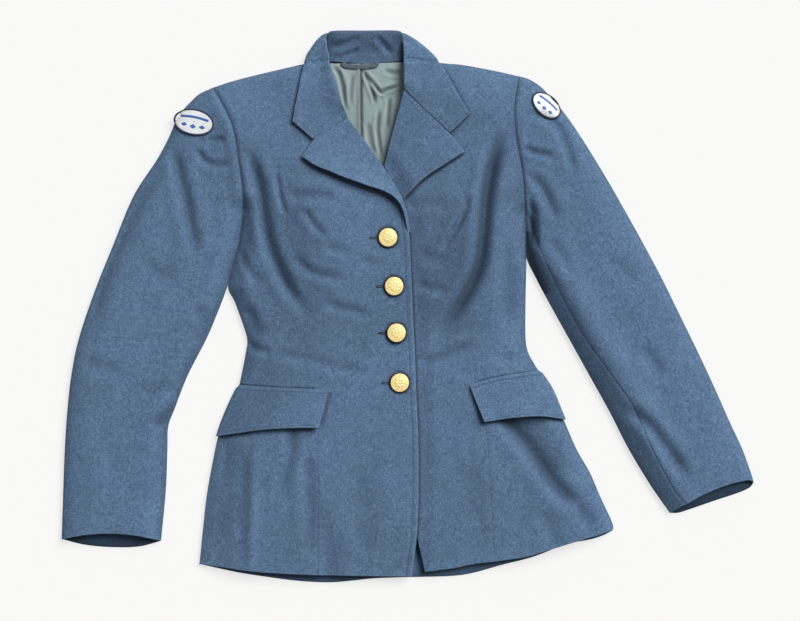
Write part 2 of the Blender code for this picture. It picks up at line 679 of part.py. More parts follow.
def fall_section(row):
    """Points across the fall where it turns round the side of the neck and runs back under it."""
    roll = np.array((row.roll_x, row.roll_y))
    side = np.array((row.side_x, row.side_y))
    end = np.array((row.end_x, row.end_y))
    radius = FALL_TURN / 2
    inward = unit(roll - side)
    back = unit(end - side)
    turn_top = side + radius * inward
    points = []
    for share in np.arange(FALL_RUN_STEPS) / FALL_RUN_STEPS:
        plan = roll + share * (turn_top - roll)
        points.append((*plan, row.roll_z + share * (FALL_TURN - row.roll_z)))
    for share in np.arange(FALL_TURN_STEPS + 1) / FALL_TURN_STEPS:
        angle = math.pi / 2 - math.pi * share
        plan = side + radius * (1 - math.cos(angle)) * unit((1 - share) * inward + share * back)
        points.append((*plan, radius + radius * math.sin(angle)))
    for share in np.arange(1, FALL_RUN_STEPS + 1) / FALL_RUN_STEPS:
        points.append((*(plan + share * (end - plan)), 0.0))
    return np.array(points)


def spaced(points, steps):
    """Evenly spaced points along a line in space."""
    runs = np.linalg.norm(np.diff(points, axis=0), axis=1)
    along = np.concatenate([[0.0], np.cumsum(runs)])
    places = np.linspace(0, along[-1], steps + 1)
    return np.stack([np.interp(places, along, points[:, k]) for k in range(3)], axis=-1)


def leaf_section(plan_points):
    """Points across a leaf of the collar, where it lies on the front."""
    plan = spaced(np.array([(*p, 0.0) for p in plan_points]), FALL_STEPS)[:, :2]
    shares = np.linspace(0, 1, FALL_STEPS + 1)
    rise = FALL_ROLL_RISE * (1 - soft_step(shares, 0, FALL_BAND))
    return raised(plan, ground(plan) + COLLAR_GAP + COLLAR_CLOTH + rise)


def build_collar():
    """The fall of the collar, from the end of one leaf round the neck to the end of the other."""
    sections = [leaf_section(RIGHT_LEAF_END)]
    sections += [leaf_section(((r.roll_x, r.roll_y), (r.end_x, r.end_y))) for r in RIGHT_LEAF]
    sections += [fall_section(r) for r in FALL_UNDER]
    sections += [leaf_section(((r.roll_x, r.roll_y), (r.end_x, r.end_y))) for r in LEFT_LEAF]
    sections.append(leaf_section(LEFT_LEAF_END))
    cloth("collar_fall", [np.array(sections)], COLLAR_CLOTH)


def lining_height(plan):
    return CLOTH + LINING_GAP + LINING_CLOTH + neck_lift(plan)


def build_neck_inside():
    """The stand of the collar, the lining that shows in the neck, and the hanger loop."""
    top, bottom = Edge(STAND_TOP), Edge(NECK_SEAM)
    shares = np.linspace(0, 1, STAND_STEPS + 1)
    rows = []
    for v in (0.0, 0.2, 0.5, 0.8, 1.0):
        plan = (1 - v) * top.at(shares) + v * bottom.at(shares)
        middle = FALL_TURN - 0.3 + v * (lining_height(plan) + 0.6 - FALL_TURN + STAND_CLOTH)
        sides = STAND_SIDE_RISE * np.abs(2 * shares - 1) ** 3 * v * (1 - v) * 2
        rows.append(raised(plan, middle + sides))
    cloth("collar_stand", [np.array(rows)], STAND_CLOTH)

    plan = patch(
        Edge(LINING_RIGHT), Edge(LINING_LEFT), Edge((LINING_RIGHT[0], (-52, 301.4), LINING_LEFT[0])),
        Edge((LINING_RIGHT[-1], LINING_LEFT[-1])), np.linspace(0, 1, 7), lambda length: np.linspace(0, 1, 6),
    )
    cloth("back_lining", [raised(plan, lining_height(plan))], LINING_CLOTH, "lining")

    start, end = LOOP_SPAN
    rows = []
    for across in (0.0, 1.0):
        line = []
        for share in np.linspace(0, 1, 11):
            sag = LOOP_SAG * math.sin(math.pi * share)
            plan = np.array((start + (end - start) * share, LOOP_TOP - sag - across * LOOP_WIDTH))
            line.append((*plan, float(lining_height(plan)) + SEAM + LOOP_CLOTH))
        rows.append(line)
    cloth("hanger_loop", [np.array(rows)], LOOP_CLOTH, "loop")


def build_flap(name, fold, top, lower, height, flip):
    """A pocket flap, made from the points of the front under it, moved out."""
    rows = (0.0, 0.25, 0.5, 0.75, 1.0)
    columns = fold_to_edge((0.2, 0.4, 0.6, 0.8, 1.0), OVER_INSETS)
    along_fold = Edge(fold).part(0, share_at(Edge(fold), lower[0]))
    inner_end = Edge((top[-1], lower[-1]))
    plan = patch(along_fold, inner_end, Edge(top), Edge(lower), rows, columns)[:, 1:]
    side = np.array([(-1.0, 0.0, 0.0)] if not flip else [(1.0, 0.0, 0.0)])
    normals = surface_normal(height, plan)
    normals[:, 0] = side
    base = raised(plan, height(plan))
    lift = FLAP_LIFT * np.array(rows)[:, None, None] ** 2 * np.array((0.0, 0.0, 1.0))
    cloth(name, [base + normals * (FLAP_GAP + FLAP_CLOTH) + lift], FLAP_CLOTH, flip=flip)


def build_badge(name, badge):
    """An oval badge sewn on the sleeve, made from the points of the sleeve under it, moved out."""
    turn = math.radians(badge.turn)
    points = []
    for ring in BADGE_RINGS[1:]:
        for k in range(BADGE_SIDES):
            angle = 2 * math.pi * k / BADGE_SIDES
            across = badge.half_width * ring * math.cos(angle)
            up = badge.half_height * ring * math.sin(angle)
            points.append((
                badge.x + across * math.cos(turn) - up * math.sin(turn),
                badge.y + across * math.sin(turn) + up * math.cos(turn),
            ))
    plan = np.array([(badge.x, badge.y), *points])
    normals = surface_normal(front_height, plan)
    base = np.maximum(front_height(plan), ground(plan, BADGE_REACH))
    outside = raised(plan, base) + normals * (BADGE_GAP + BADGE_CLOTH)
    faces = [(0, 1 + k, 1 + (k + 1) % BADGE_SIDES) for k in range(BADGE_SIDES)]
    for ring in range(len(BADGE_RINGS) - 2):
        low = 1 + ring * BADGE_SIDES
        for k in range(BADGE_SIDES):
            k2 = (k + 1) % BADGE_SIDES
            faces.append((low + k, low + BADGE_SIDES + k, low + BADGE_SIDES + k2, low + k2))
    mesh = new_mesh(name, outside, faces)
    mesh.materials.append(make_material("badge"))
    item = bpy.data.objects.new(name, mesh)
    JACKET.objects.link(item)
    shell = item.modifiers.new("thickness", "SOLIDIFY")
    shell.thickness = BADGE_CLOTH * MM
    shell.offset = -1


def build_buttons():
    """Domed buttons on short shanks, turned from one profile."""
    profile = bpy.data.meshes.new("button")
    points = [(r * MM, 0.0, z * MM) for r, z in BUTTON_PROFILE[::-1]]
    profile.from_pydata(points, [(k, k + 1) for k in range(len(points) - 1)], [])
    profile.materials.append(make_material("gilt"))
    for number, place in enumerate(BUTTONS, start=1):
        item = bpy.data.objects.new(f"button_{number}", profile)
        JACKET.objects.link(item)
        foot = float(ground(np.array(place, float), SHANK_RADIUS)) + BUTTON_GAP
        item.location = (place[0] * MM, place[1] * MM, foot * MM)
        turned = item.modifiers.new("turned", "SCREW")
        turned.steps = BUTTON_STEPS
        turned.render_steps = BUTTON_STEPS
        turned.use_merge_vertices = True
        turned.merge_threshold = 0.00001


def build_jacket():
    clear_scene()
    bpy.context.scene.collection.children.link(JACKET)
    build_sleeve_right()
    build_sleeve_left()
    build_front(
        "right", RIGHT_ARMHOLE, (RIGHT_SIDE_ABOVE, RIGHT_SIDE_BELOW), RIGHT_SHOULDER,
        (RIGHT_ROLL, RIGHT_EDGE_ABOVE, RIGHT_EDGE_BELOW), RIGHT_POCKET_SEAM, RIGHT_WAIST_REST,
        RIGHT_SKIRT_SEAM, (RIGHT_HEM_SIDE, RIGHT_HEM_FRONT), front_height, False, False,
    )
    build_front(
        "left", LEFT_ARMHOLE, (LEFT_SIDE_ABOVE, LEFT_SIDE_BELOW), LEFT_SHOULDER,
        (LEFT_ROLL, LEFT_EDGE_ABOVE, LEFT_EDGE_BELOW), LEFT_POCKET_SEAM, LEFT_WAIST_REST,
        LEFT_SKIRT_SEAM, (LEFT_HEM_SIDE, LEFT_HEM_FRONT), left_front_height, True, True,
    )
    build_back(
        "right", RIGHT_ARMHOLE, (RIGHT_SIDE_ABOVE, RIGHT_SIDE_BELOW), RIGHT_SHOULDER, BACK_NECK_RIGHT,
        BACK_HEM_RIGHT, RIGHT_POCKET_SEAM, RIGHT_WAIST_REST, True,
    )
    build_back(
        "left", LEFT_ARMHOLE, (LEFT_SIDE_ABOVE, LEFT_SIDE_BELOW), LEFT_SHOULDER, BACK_NECK_LEFT,
        BACK_HEM_LEFT, LEFT_POCKET_SEAM, LEFT_WAIST_REST, False,
    )
    build_lapel(
        "right_lapel", RIGHT_LAPEL_ROLL, RIGHT_LAPEL_OUTER, RIGHT_GORGE_END,
        Edge((RIGHT_LAPEL_OUTER[-1], RIGHT_LAPEL_ROLL[-1])), LAPEL_LIFT, False,
    )
    build_lapel(
        "left_lapel", LEFT_LAPEL_ROLL, LEFT_LAPEL_OUTER, LEFT_GORGE_END,
        Edge(LEFT_LAPEL_TUCK[::-1]), LEFT_LAPEL_LIFT, True,
    )
    build_collar()
    build_neck_inside()
    build_flap(
        "right_pocket_flap", RIGHT_SIDE_BELOW, RIGHT_FLAP_TOP, RIGHT_FLAP_LOWER, front_height, False,
    )
    build_flap(
        "left_pocket_flap", LEFT_SIDE_BELOW, LEFT_FLAP_TOP, LEFT_FLAP_LOWER, left_front_height, True,
    )
    build_badge("right_sleeve_badge", RIGHT_BADGE)
    build_badge("left_sleeve_badge", LEFT_BADGE)
    build_buttons()


build_jacket()
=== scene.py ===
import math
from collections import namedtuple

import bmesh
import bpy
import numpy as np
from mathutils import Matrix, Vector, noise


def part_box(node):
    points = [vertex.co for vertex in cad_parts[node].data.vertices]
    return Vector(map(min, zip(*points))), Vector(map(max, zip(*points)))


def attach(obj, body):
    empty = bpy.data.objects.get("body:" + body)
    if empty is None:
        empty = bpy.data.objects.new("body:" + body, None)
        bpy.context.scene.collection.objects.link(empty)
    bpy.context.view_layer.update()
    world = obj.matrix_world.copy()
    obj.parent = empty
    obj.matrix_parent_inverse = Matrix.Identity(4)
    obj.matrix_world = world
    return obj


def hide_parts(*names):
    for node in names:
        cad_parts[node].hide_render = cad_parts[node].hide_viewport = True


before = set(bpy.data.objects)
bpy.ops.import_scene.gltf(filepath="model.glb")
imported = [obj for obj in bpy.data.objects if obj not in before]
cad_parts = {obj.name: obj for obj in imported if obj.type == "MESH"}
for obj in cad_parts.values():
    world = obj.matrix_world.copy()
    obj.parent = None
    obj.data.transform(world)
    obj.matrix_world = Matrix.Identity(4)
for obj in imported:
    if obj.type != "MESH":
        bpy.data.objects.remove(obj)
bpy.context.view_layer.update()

# The looks of a fitted uniform jacket of blue-grey wool, laid out flat on its back.
#
# Tables are in millimetres, in the frame of the CAD: +X is the wearer's left, +Y runs up towards the
# collar and +Z is up from the surface. Each panel is a fine grid of points. Its plan comes from the
# jacket's outlines, and its height from one form that is shared by all the cloth: a flattened tube
# with soft crowns, listed creases, and the grooves of the seams.

MM = 0.001
SPACING = 2.7  # between the points of a panel that shows
UNDER_SPACING = 7.0  # on the flat underside

# Cloth thicknesses
WALL = 1.2
HEM_WALL = 2.2  # where the edge is turned in
HEM_DEPTH = 30.0
LEAF_WALL = 2.3  # lapels and collar
FLAP_WALL = 2.0
RIM = 1.3  # how far in from its edge a cut piece is rounded

# The flattened tube
FOLD_RISE = 4.0
FOLD_RUN = 1.2
EDGE_CROWN = 13.0
EDGE_REACH = 50.0
WIDE_REACH = 125.0
NECK_LIFT = 3.2
NECK_MIDDLE = -46.0
UNDER_TURN = 2.8

Form = namedtuple("Form", "x y across along rise")
FORMS = (
    Form(-116, 112, 60, 76, 14),  # right bust
    Form(74, 112, 56, 76, 14),  # left bust
    Form(-205, 232, 48, 42, 8),  # right shoulder pad
    Form(112, 244, 48, 42, 8),  # left shoulder pad
    Form(-28, -52, 120, 42, -4),  # waist
    Form(-150, -200, 90, 90, 4),  # right hip
    Form(120, -190, 90, 90, 4),  # left hip
    Form(-20, -335, 260, 45, -4),  # hem
    Form(-55, 215, 50, 70, -3),  # hollow under the lapels
)

# Outlines, as x and y of points on them. Right and left are the wearer's.
RIGHT_SHOULDER = (
    (-101, 306), (-118, 303.5), (-132, 301.5), (-166, 294), (-196, 287), (-222, 280), (-243, 273),
)
RIGHT_ARMHOLE = ((-243, 273), (-223, 237), (-215, 213), (-210, 179), (-205.5, 145), (-205, 118))
RIGHT_SLEEVE_OUTER = (
    (-243, 273), (-260, 265), (-272, 254), (-282, 243), (-291, 228), (-298, 211), (-313, 183),
    (-342, 138), (-367, 78), (-391, 18), (-411, -42), (-420, -87), (-425, -132), (-428, -177),
    (-430, -230), (-432, -291),
)
RIGHT_SLEEVE_INNER = (
    (-205, 118), (-210.5, 75), (-224.0, 28), (-239, -12), (-252, -42), (-275, -87), (-291, -128),
    (-299, -150), (-300, -180), (-302, -230), (-308, -293),
)
RIGHT_CUFF_OVER = ((-432, -291), (-403, -285), (-368, -283), (-335, -286), (-308, -293))
RIGHT_CUFF_UNDER = ((-432, -291), (-403, -298), (-368, -301), (-335, -300), (-308, -293))
RIGHT_SIDE_ABOVE = (
    (-205, 118), (-211, 75), (-224.5, 28), (-215, 3), (-201, -38), (-202, -57), (-210, -98),
)
RIGHT_SIDE_BELOW = (
    (-210, -98), (-225, -130), (-236, -160), (-243, -192), (-251, -237), (-256, -282), (-260, -322),
)
LEFT_SHOULDER = ((-2, 308), (18, 306), (36, 304), (50, 302.5), (69, 301), (108, 294), (139, 287))
LEFT_ARMHOLE = ((139, 287), (133, 249), (135, 211), (143, 165), (145.5, 133), (147, 112))
LEFT_SLEEVE_OUTER = (
    (139, 287), (152, 283), (167, 273), (179, 260), (194, 243), (215, 213), (243, 168), (269, 123),
    (294, 78), (318, 33), (340, -12), (362, -57), (383, -102), (403, -147), (417, -177),
    (428, -207), (432, -220),
)
LEFT_SLEEVE_INNER = (
    (147, 112), (147.2, 84), (147.8, 61), (161, 33), (177, 3), (202, -42), (227, -87), (252, -132),
    (275, -177), (302, -222), (327, -258),
)
LEFT_SEAM_HEAD = 0.93  # share of the left armhole where the forearm seam meets it
LEFT_FOREARM_SEAM = (
    (153, 105), (167, 64), (211, -25), (255, -89), (281, -127), (307, -185), (332, -230), (346, -246.5),
)
LEFT_CUFF_OVER = (
    (432, -220), (427, -217), (416, -218), (396, -223), (371, -233), (346, -246.5), (327, -258),
)
LEFT_CUFF_UNDER = (
    (432, -220), (428, -226), (413, -233), (383, -243), (354, -253), (338, -258), (327, -258),
)
LEFT_SIDE_ABOVE = ((147, 112), (148, 57), (147, 3), (147, -38), (150, -57), (158, -72), (163, -80))
LEFT_SIDE_BELOW = (
    (163, -80), (178, -102), (190, -130), (210, -177), (227, -207), (240, -237), (254, -267),
    (257, -278),
)

# The fronts, from the neck down the roll line of the lapel and the front edge
RIGHT_ROLL = ((-98, 305), (-88, 275), (-75, 233), (-58, 212), (-31, 175), (-16, 149), (-4, 124))
RIGHT_EDGE_ABOVE = ((-4, 124), (2, 87), (4, 45), (6, 0), (9, -60), (10.5, -106))
RIGHT_EDGE_BELOW = ((10.5, -106), (13, -160), (13.5, -210), (12, -277), (5, -337))
LEFT_ROLL = ((-5, 307), (-5, 273), (-17, 220), (-31, 175), (-40, 133))
LEFT_EDGE_ABOVE = ((-40, 133), (-40, 83), (-33, 25), (-30, -33), (-24, -102))
LEFT_EDGE_BELOW = ((-24, -102), (-17, -155), (-3, -230), (11, -287), (21, -331))
RIGHT_POCKET_SEAM = ((-210, -98), (-157, -101), (-115, -102.5))
RIGHT_WAIST_REST = ((-115, -102.5), (-50, -104), (10.5, -106))
RIGHT_SKIRT_SEAM = ((-115, -102.5), (-112, -155), (-112, -335))
LEFT_POCKET_SEAM = ((163, -80), (127, -85), (97, -91), (82, -96))
LEFT_WAIST_REST = ((82, -96), (30, -99), (-24, -102))
LEFT_SKIRT_SEAM = ((82, -96), (97, -150), (108, -318))
RIGHT_HEM_SIDE = ((-260, -322), (-233, -325), (-196, -330), (-157, -333), (-112, -335))
RIGHT_HEM_FRONT = ((-112, -335), (-81, -335.5), (-52, -336), (-23, -336.5), (5, -337))
LEFT_HEM_SIDE = ((257, -278), (237, -285), (219, -290), (177, -303), (147, -312), (108, -318))
LEFT_HEM_FRONT = ((108, -318), (82, -321), (58, -326), (21, -331))
BACK_HEM_RIGHT = (
    (-260, -322), (-215, -332), (-177, -338), (-138, -343), (-100, -345), (-71, -343), (-42, -340),
    (0, -338.5),
)
BACK_HEM_LEFT = (
    (257, -278), (253, -282), (237, -289), (220, -293), (198, -297), (157, -313), (118, -323),
    (82, -333), (54, -337), (0, -338.5),
)
BACK_NECK_RIGHT = ((-101, 306), (-76, 303), (-52, 302.5))
BACK_NECK_LEFT = ((-2, 308), (-28, 303.5), (-52, 302.5))
CENTRE_BACK = ((-52, 302.5), (-40, 120), (-28, -60), (0, -338.5))

# Lapels
RIGHT_GORGE_END = ((-76, 233), (-117.5, 206.6), (-131.5, 185.5))
RIGHT_LAPEL_OUTER = (
    (-131.5, 185.5), (-115.7, 174.9), (-97.6, 167.5), (-79.5, 160), (-61.4, 153.8), (-46.4, 148.5),
    (-34.4, 145), (-25, 141.3), (-16.3, 136), (-9.4, 128.5), (-4.8, 119), (-1.8, 107), (0.6, 92),
)
RIGHT_LAPEL_ROLL = (
    (-76, 233), (-59.6, 211), (-33.4, 174.8), (-22.2, 157.8), (-13.2, 142.7), (-7.6, 132),
    (-3.6, 122.5), (-0.9, 111), (1.6, 92),
)
LEFT_GORGE_END = ((-3.8, 267.2), (51.8, 214.5), (70.8, 191.9))
LEFT_LAPEL_OUTER = ((70.8, 191.9), (47.3, 176.8), (20.1, 158.7), (-7.5, 131.5))
LEFT_LAPEL_ROLL = ((-3.8, 267.2), (-16.7, 220), (-28.8, 173.3))
LEFT_LAPEL_TUCK = ((-28.8, 173.3), (-18.5, 153), (-7.5, 131.5))

# Collar: each section crosses the fall from its roll to its side, and turns under to its end
Fall = namedtuple("Fall", "roll_x roll_y roll_z side_x side_y side_z end_x end_y")
FALL_UNDER = (
    Fall(-99.5, 312, 20.6, -127.0, 312, 15.4, -122, 308),
    Fall(-101, 319, 19.4, -123, 319, 14.4, -116, 298),
    Fall(-102, 328, 17.0, -113, 333, 13.6, -106, 288),
    Fall(-99, 331, 12.8, -102, 340.5, 13.2, -95, 284),
    Fall(-81, 331.5, 12.6, -82, 342, 13.4, -80, 281),
    Fall(-52, 331, 13.2, -52, 341.6, 13.4, -52, 280),
    Fall(-26, 331.5, 12.6, -26, 342.3, 13.4, -26, 281),
    Fall(-9, 331, 12.8, -6, 341, 13.2, -9, 284),
    Fall(-5, 328, 17.0, 8, 334, 13.6, 6, 288),
    Fall(-4.2, 322, 19.4, 22.5, 323, 14.4, 20, 298),
    Fall(-3.8, 313, 20.6, 33.5, 312.5, 15.4, 30, 308),
)
Leaf = namedtuple("Leaf", "roll_x roll_y end_x end_y")
RIGHT_LEAF = (
    Leaf(-80.6, 246, -140.5, 247), Leaf(-87.8, 262, -137, 263), Leaf(-94, 280, -133.6, 282),
    Leaf(-98.4, 298, -129.6, 300),
)
LEFT_LEAF = (
    Leaf(-3.6, 303, 39.5, 303), Leaf(-3.5, 292, 47.4, 291), Leaf(-3.5, 282, 57, 272),
    Leaf(-3.5, 275, 67, 255),
)
RIGHT_LEAF_END = ((-75.95, 233.1), (-117.5, 206.8), (-143.4, 229.5))
LEFT_LEAF_END = ((-3.6, 267.8), (52.1, 214.9), (77.2, 239))
NECK_SEAM = ((-103, 305.5), (-52, 302.6), (-2, 306))
STAND_TOP = ((-99.5, 335), (-93, 339), (-52, 339.3), (-14, 339.3), (-6.5, 335.5))

# Pocket flaps: top edge and lower edge from the side inwards
RIGHT_FLAP_TOP = ((-210, -98), (-157, -101), (-99, -104))
RIGHT_FLAP_LOWER = ((-237, -162), (-200, -156.3), (-171.8, -152.7), (-135, -150.7), (-110.2, -150.7))
LEFT_FLAP_TOP = ((163, -80), (127, -85), (97, -91), (76, -98))
LEFT_FLAP_LOWER = ((197, -140.5), (167, -136), (137, -137.5), (94.5, -143.5))

Badge = namedtuple("Badge", "x y half_width half_height turn")
RIGHT_BADGE = Badge(-266, 229, 25, 15.5, -12)
LEFT_BADGE = Badge(172.5, 250, 20, 12.5, -40)
BUTTONS = ((-24.6, 85.5), (-17, 25), (-14, -33), (-10, -95))

# Creases laid one by one: depth and half width of the trough, height of the ridge beside it, and its way
Crease = namedtuple("Crease", "depth width ridge way")
BODY_CREASES = (
    Crease(6.8, 7.2, 1.8, (
        (-201, 203), (-191, 172), (-184, 144), (-179, 109), (-171, 72), (-156, 36), (-140, 9),
        (-118, -17),
    )),
    Crease(2.6, 3.4, 0.7, ((-163, 168), (-161, 147), (-156, 126), (-149, 108))),
    Crease(3.0, 6.0, 0.8, ((-150, 132), (-128, 137), (-104, 136), (-84, 130))),
    Crease(2.5, 4.6, 0.8, ((-131, 122), (-122, 108), (-112, 95), (-100, 84))),
    Crease(2.8, 5.8, 0.8, ((-142, 66), (-134, 54), (-122, 43), (-104, 37), (-72, 34))),
    Crease(2.0, 6.0, 0.6, ((-104, 74), (-88, 70), (-70, 66))),
    Crease(2.4, 6.0, 0.7, ((-108, 8), (-88, -1), (-68, -6), (-42, -13))),
    Crease(2.2, 5.0, 0.5, ((-211, 72), (-204, 56), (-195, 41), (-184, 24))),
    Crease(3.0, 5.0, 0.6, ((-206, -49), (-196, -50), (-184, -55), (-168, -58))),
    Crease(1.8, 6.0, 0.5, ((-176, -57), (-146, -63), (-118, -68), (-88, -77), (-42, -82))),
    Crease(3.4, 9.0, 0.0, ((-200, 2), (-190, -18), (-178, -40))),
    Crease(12.0, 8.5, 2.8, (
        (118, 222), (111, 196), (104, 172), (98, 140), (95, 110), (93, 86), (88, 52), (77, 24),
        (61, -3), (45, -26), (24, -50),
    )),
    Crease(4.2, 4.0, 1.6, ((76, 140), (73, 126), (66, 109), (54, 88), (39, 65))),
    Crease(1.8, 7.0, 0.4, ((-2, 122), (24, 127), (52, 125))),
    Crease(2.2, 6.0, 0.6, ((10, 26), (30, 21), (52, 19))),
    Crease(3.4, 6.0, 0.9, ((14, -74), (30, -68), (46, -62), (64, -54), (84, -47))),
    Crease(3.6, 11.0, 0.4, ((127, 84), (126, 40), (126, 0), (124, -34))),
    Crease(1.4, 6.0, 0.3, ((-60, 60), (-42, 52), (-26, 54))),
    Crease(1.6, 7.0, 0.4, ((112, -62), (126, -66), (142, -64))),
    Crease(1.8, 7.0, 0.4, ((14, 66), (30, 58), (48, 58))),
)
SKIRT_CREASES = (
    Crease(1.2, 7.0, 0.0, ((-205, -176), (-207, -220), (-208, -260), (-210, -330))),
    Crease(1.6, 8.0, 0.0, ((-226, -160), (-228, -186), (-232, -226))),
    Crease(3.2, 7.5, 1.0, ((-138, -130), (-143, -158), (-147, -190), (-154, -216), (-162, -240))),
    Crease(2.8, 8.0, 0.6, ((-126, -170), (-124, -210), (-122, -250), (-120, -320))),
    Crease(2.2, 10.0, 0.6, ((-108, -236), (-102, -285), (-97, -330), (-92, -380))),
    Crease(6.5, 9.5, 1.4, (
        (96, -112), (112, -130), (128, -148), (140, -163), (152, -178), (166, -198), (182, -221),
        (202, -240), (236, -254),
    )),
    Crease(5.5, 16.0, 0.0, (
        (118, -116), (134, -132), (150, -150), (166, -172), (184, -200), (204, -226),
    )),
    Crease(-2.8, 7.0, 0.0, ((-190, -160), (-193, -220), (-194, -270), (-196, -340))),
    Crease(3.0, 10.0, 0.6, ((206, -250), (220, -262), (234, -276))),
    Crease(1.6, 14.0, 0.3, ((70, -190), (84, -250), (90, -320))),
    Crease(1.6, 14.0, 0.3, ((-60, -190), (-54, -250), (-58, -315))),
    Crease(1.6, 9.0, 0.4, ((168, -250), (176, -274), (190, -306))),
)
RIGHT_SLEEVE_CREASES = (
    Crease(3.6, 3.6, 0.8, ((-250, 202), (-240, 206), (-226, 207))),
    Crease(3.0, 4.2, 0.8, ((-264, 198), (-258, 187), (-250, 179), (-234, 175), (-216, 181))),
    Crease(4.6, 7.5, 1.2, (
        (-292, 204), (-287, 176), (-282, 155), (-276, 130), (-271, 104), (-262, 52),
    )),
    Crease(3.0, 8.5, 0.6, ((-300, 188), (-318, 156), (-338, 122), (-364, 68), (-384, 14), (-398, -50))),
    Crease(6.0, 7.0, 0.8, ((-318, -152), (-306, -142), (-296, -134), (-284, -124))),
    Crease(2.4, 8.0, 0.5, ((-330, -112), (-310, -104), (-288, -98))),
    Crease(3.0, 8.0, 0.3, ((-262, 4), (-252, -24), (-262, -56))),
    Crease(1.8, 9.0, 0.4, ((-404, -66), (-380, -78), (-356, -76))),
    Crease(1.6, 9.0, 0.3, ((-330, 60), (-310, 40), (-282, 34))),
    Crease(2.0, 10.0, 0.3, ((-314, -170), (-316, -215), (-322, -262))),
)
LEFT_SLEEVE_CREASES = (
    Crease(3.0, 5.5, 0.8, (
        (142, 233), (156, 237), (170, 235), (186, 224), (196, 204), (203, 182), (209, 152),
    )),
    Crease(3.4, 4.5, 0.9, ((142, 199), (152, 193), (163, 190), (184, 186))),
    Crease(3.0, 6.0, 0.9, ((146, 168), (156, 159), (166, 149), (177, 127), (184, 104))),
    Crease(4.0, 4.5, 0.4, ((152, 138), (155, 116), (157, 92), (161, 66))),
    Crease(2.6, 7.0, 0.5, ((176, 84), (194, 56), (206, 30))),
    Crease(5.4, 8.0, 1.4, (
        (268, -122), (290, -140), (303, -152), (318, -172), (331, -190), (352, -219),
    )),
    Crease(2.0, 8.0, 0.4, ((286, -50), (304, -66), (318, -92))),
    Crease(2.0, 9.0, 0.4, ((246, 60), (268, 46), (284, 26))),
    Crease(-5.5, 16.0, 0.0, (
        (176, 96), (190, 58), (206, 22), (232, -26), (262, -74), (288, -120), (312, -160), (340, -210),
    )),
)
BACK_CREASES = (
    Crease(0.8, 9.0, 0.0, ((-150, 60), (-110, 20), (-60, 0))),
    Crease(0.8, 9.0, 0.0, ((90, 40), (50, 0), (0, -10))),
)
LINING_CREASES = (
    Crease(3.4, 2.0, 1.8, ((-56, 296), (-51.3, 284.7), (-46.7, 274.1), (-42.2, 261.9), (-41.2, 250))),
    Crease(3.2, 2.0, 1.8, ((-52, 290), (-40.6, 274.1), (-33, 266.5), (-28, 269.6), (-8, 276))),
    Crease(2.8, 2.4, 1.4, ((-95, 300), (-86.3, 290.8), (-81.7, 275.6), (-78.7, 257.3), (-76, 240))),
    Crease(2.0, 2.2, 1.0, ((-68.1, 292), (-71.1, 269.6), (-72.6, 245.2))),
    Crease(2.6, 2.4, 1.2, ((-22.3, 262), (-23.8, 242.1), (-25.4, 218))),
    Crease(2.6, 2.2, 1.2, ((-35, 248), (-37.6, 223.8), (-36, 205.6), (-32, 182))),
    Crease(1.8, 3.0, 0.8, ((-50, 232), (-47, 206), (-40, 186))),
    Crease(1.6, 2.6, 0.8, ((-30, 294), (-18, 291), (-6, 293))),
)
STAND_CREASES = (
    Crease(2.4, 4.0, 1.0, ((-98, 322), (-84, 325), (-70, 330), (-55, 337))),
    Crease(1.8, 3.0, 0.8, ((-90, 308), (-72, 314), (-58, 321))),
    Crease(2.2, 3.6, 0.9, ((-40, 337), (-30, 325), (-18, 311))),
)

# Seams that lie in a groove: depth, half width and way
Groove = namedtuple("Groove", "depth width way")
RIGHT_DART = ((-148, -26), (-147, -60), (-145, -101))
LEFT_DART = ((80, -54), (82, -72), (84, -92))
LINING_PLEAT = ((-58, 303), (-58, 260), (-57, 190))


def smooth_curve(points, steps=10):
    """A dense Catmull-Rom curve through the points."""
    knots = np.array(points, float)
    if len(knots) == 2:
        shares = np.linspace(0, 1, steps + 1)[:, None]
        return knots[0] + shares * (knots[1] - knots[0])
    padded = np.concatenate([2 * knots[:1] - knots[1:2], knots, 2 * knots[-1:] - knots[-2:-1]])
    t = np.linspace(0, 1, steps, endpoint=False).reshape((steps,) + (1,) * (knots.ndim - 1))
    pieces = []
    for i in range(len(knots) - 1):
        before, start, end, after = padded[i : i + 4]
        bend = 2 * before - 5 * start + 4 * end - after
        twist = 3 * start - before - 3 * end + after
        pieces.append(0.5 * (2 * start + (end - before) * t + bend * t**2 + twist * t**3))
    return np.concatenate([*pieces, knots[-1:]])


def lengths(line):
    """Distance along a line to each of its points."""
    runs = np.linalg.norm(np.diff(line, axis=0), axis=1)
    return np.concatenate([[0.0], np.cumsum(runs)])


def read_line(line, places):
    """Points of a line at the given distances along it."""
    along = lengths(line)
    return np.stack([np.interp(places, along, column) for column in np.transpose(line)], axis=-1)


def bell(distance, width):
    """1 on a line, fading out over about twice its width."""
    return np.exp(-((distance / width) ** 2))


def unit(vectors):
    """Vectors of the last axis, each scaled to a length of 1."""
    return vectors / np.maximum(np.linalg.norm(vectors, axis=-1, keepdims=True), 1e-9)


def turns(count):
    """Angles all round, evenly spaced."""
    return np.arange(count) * 2 * math.pi / count


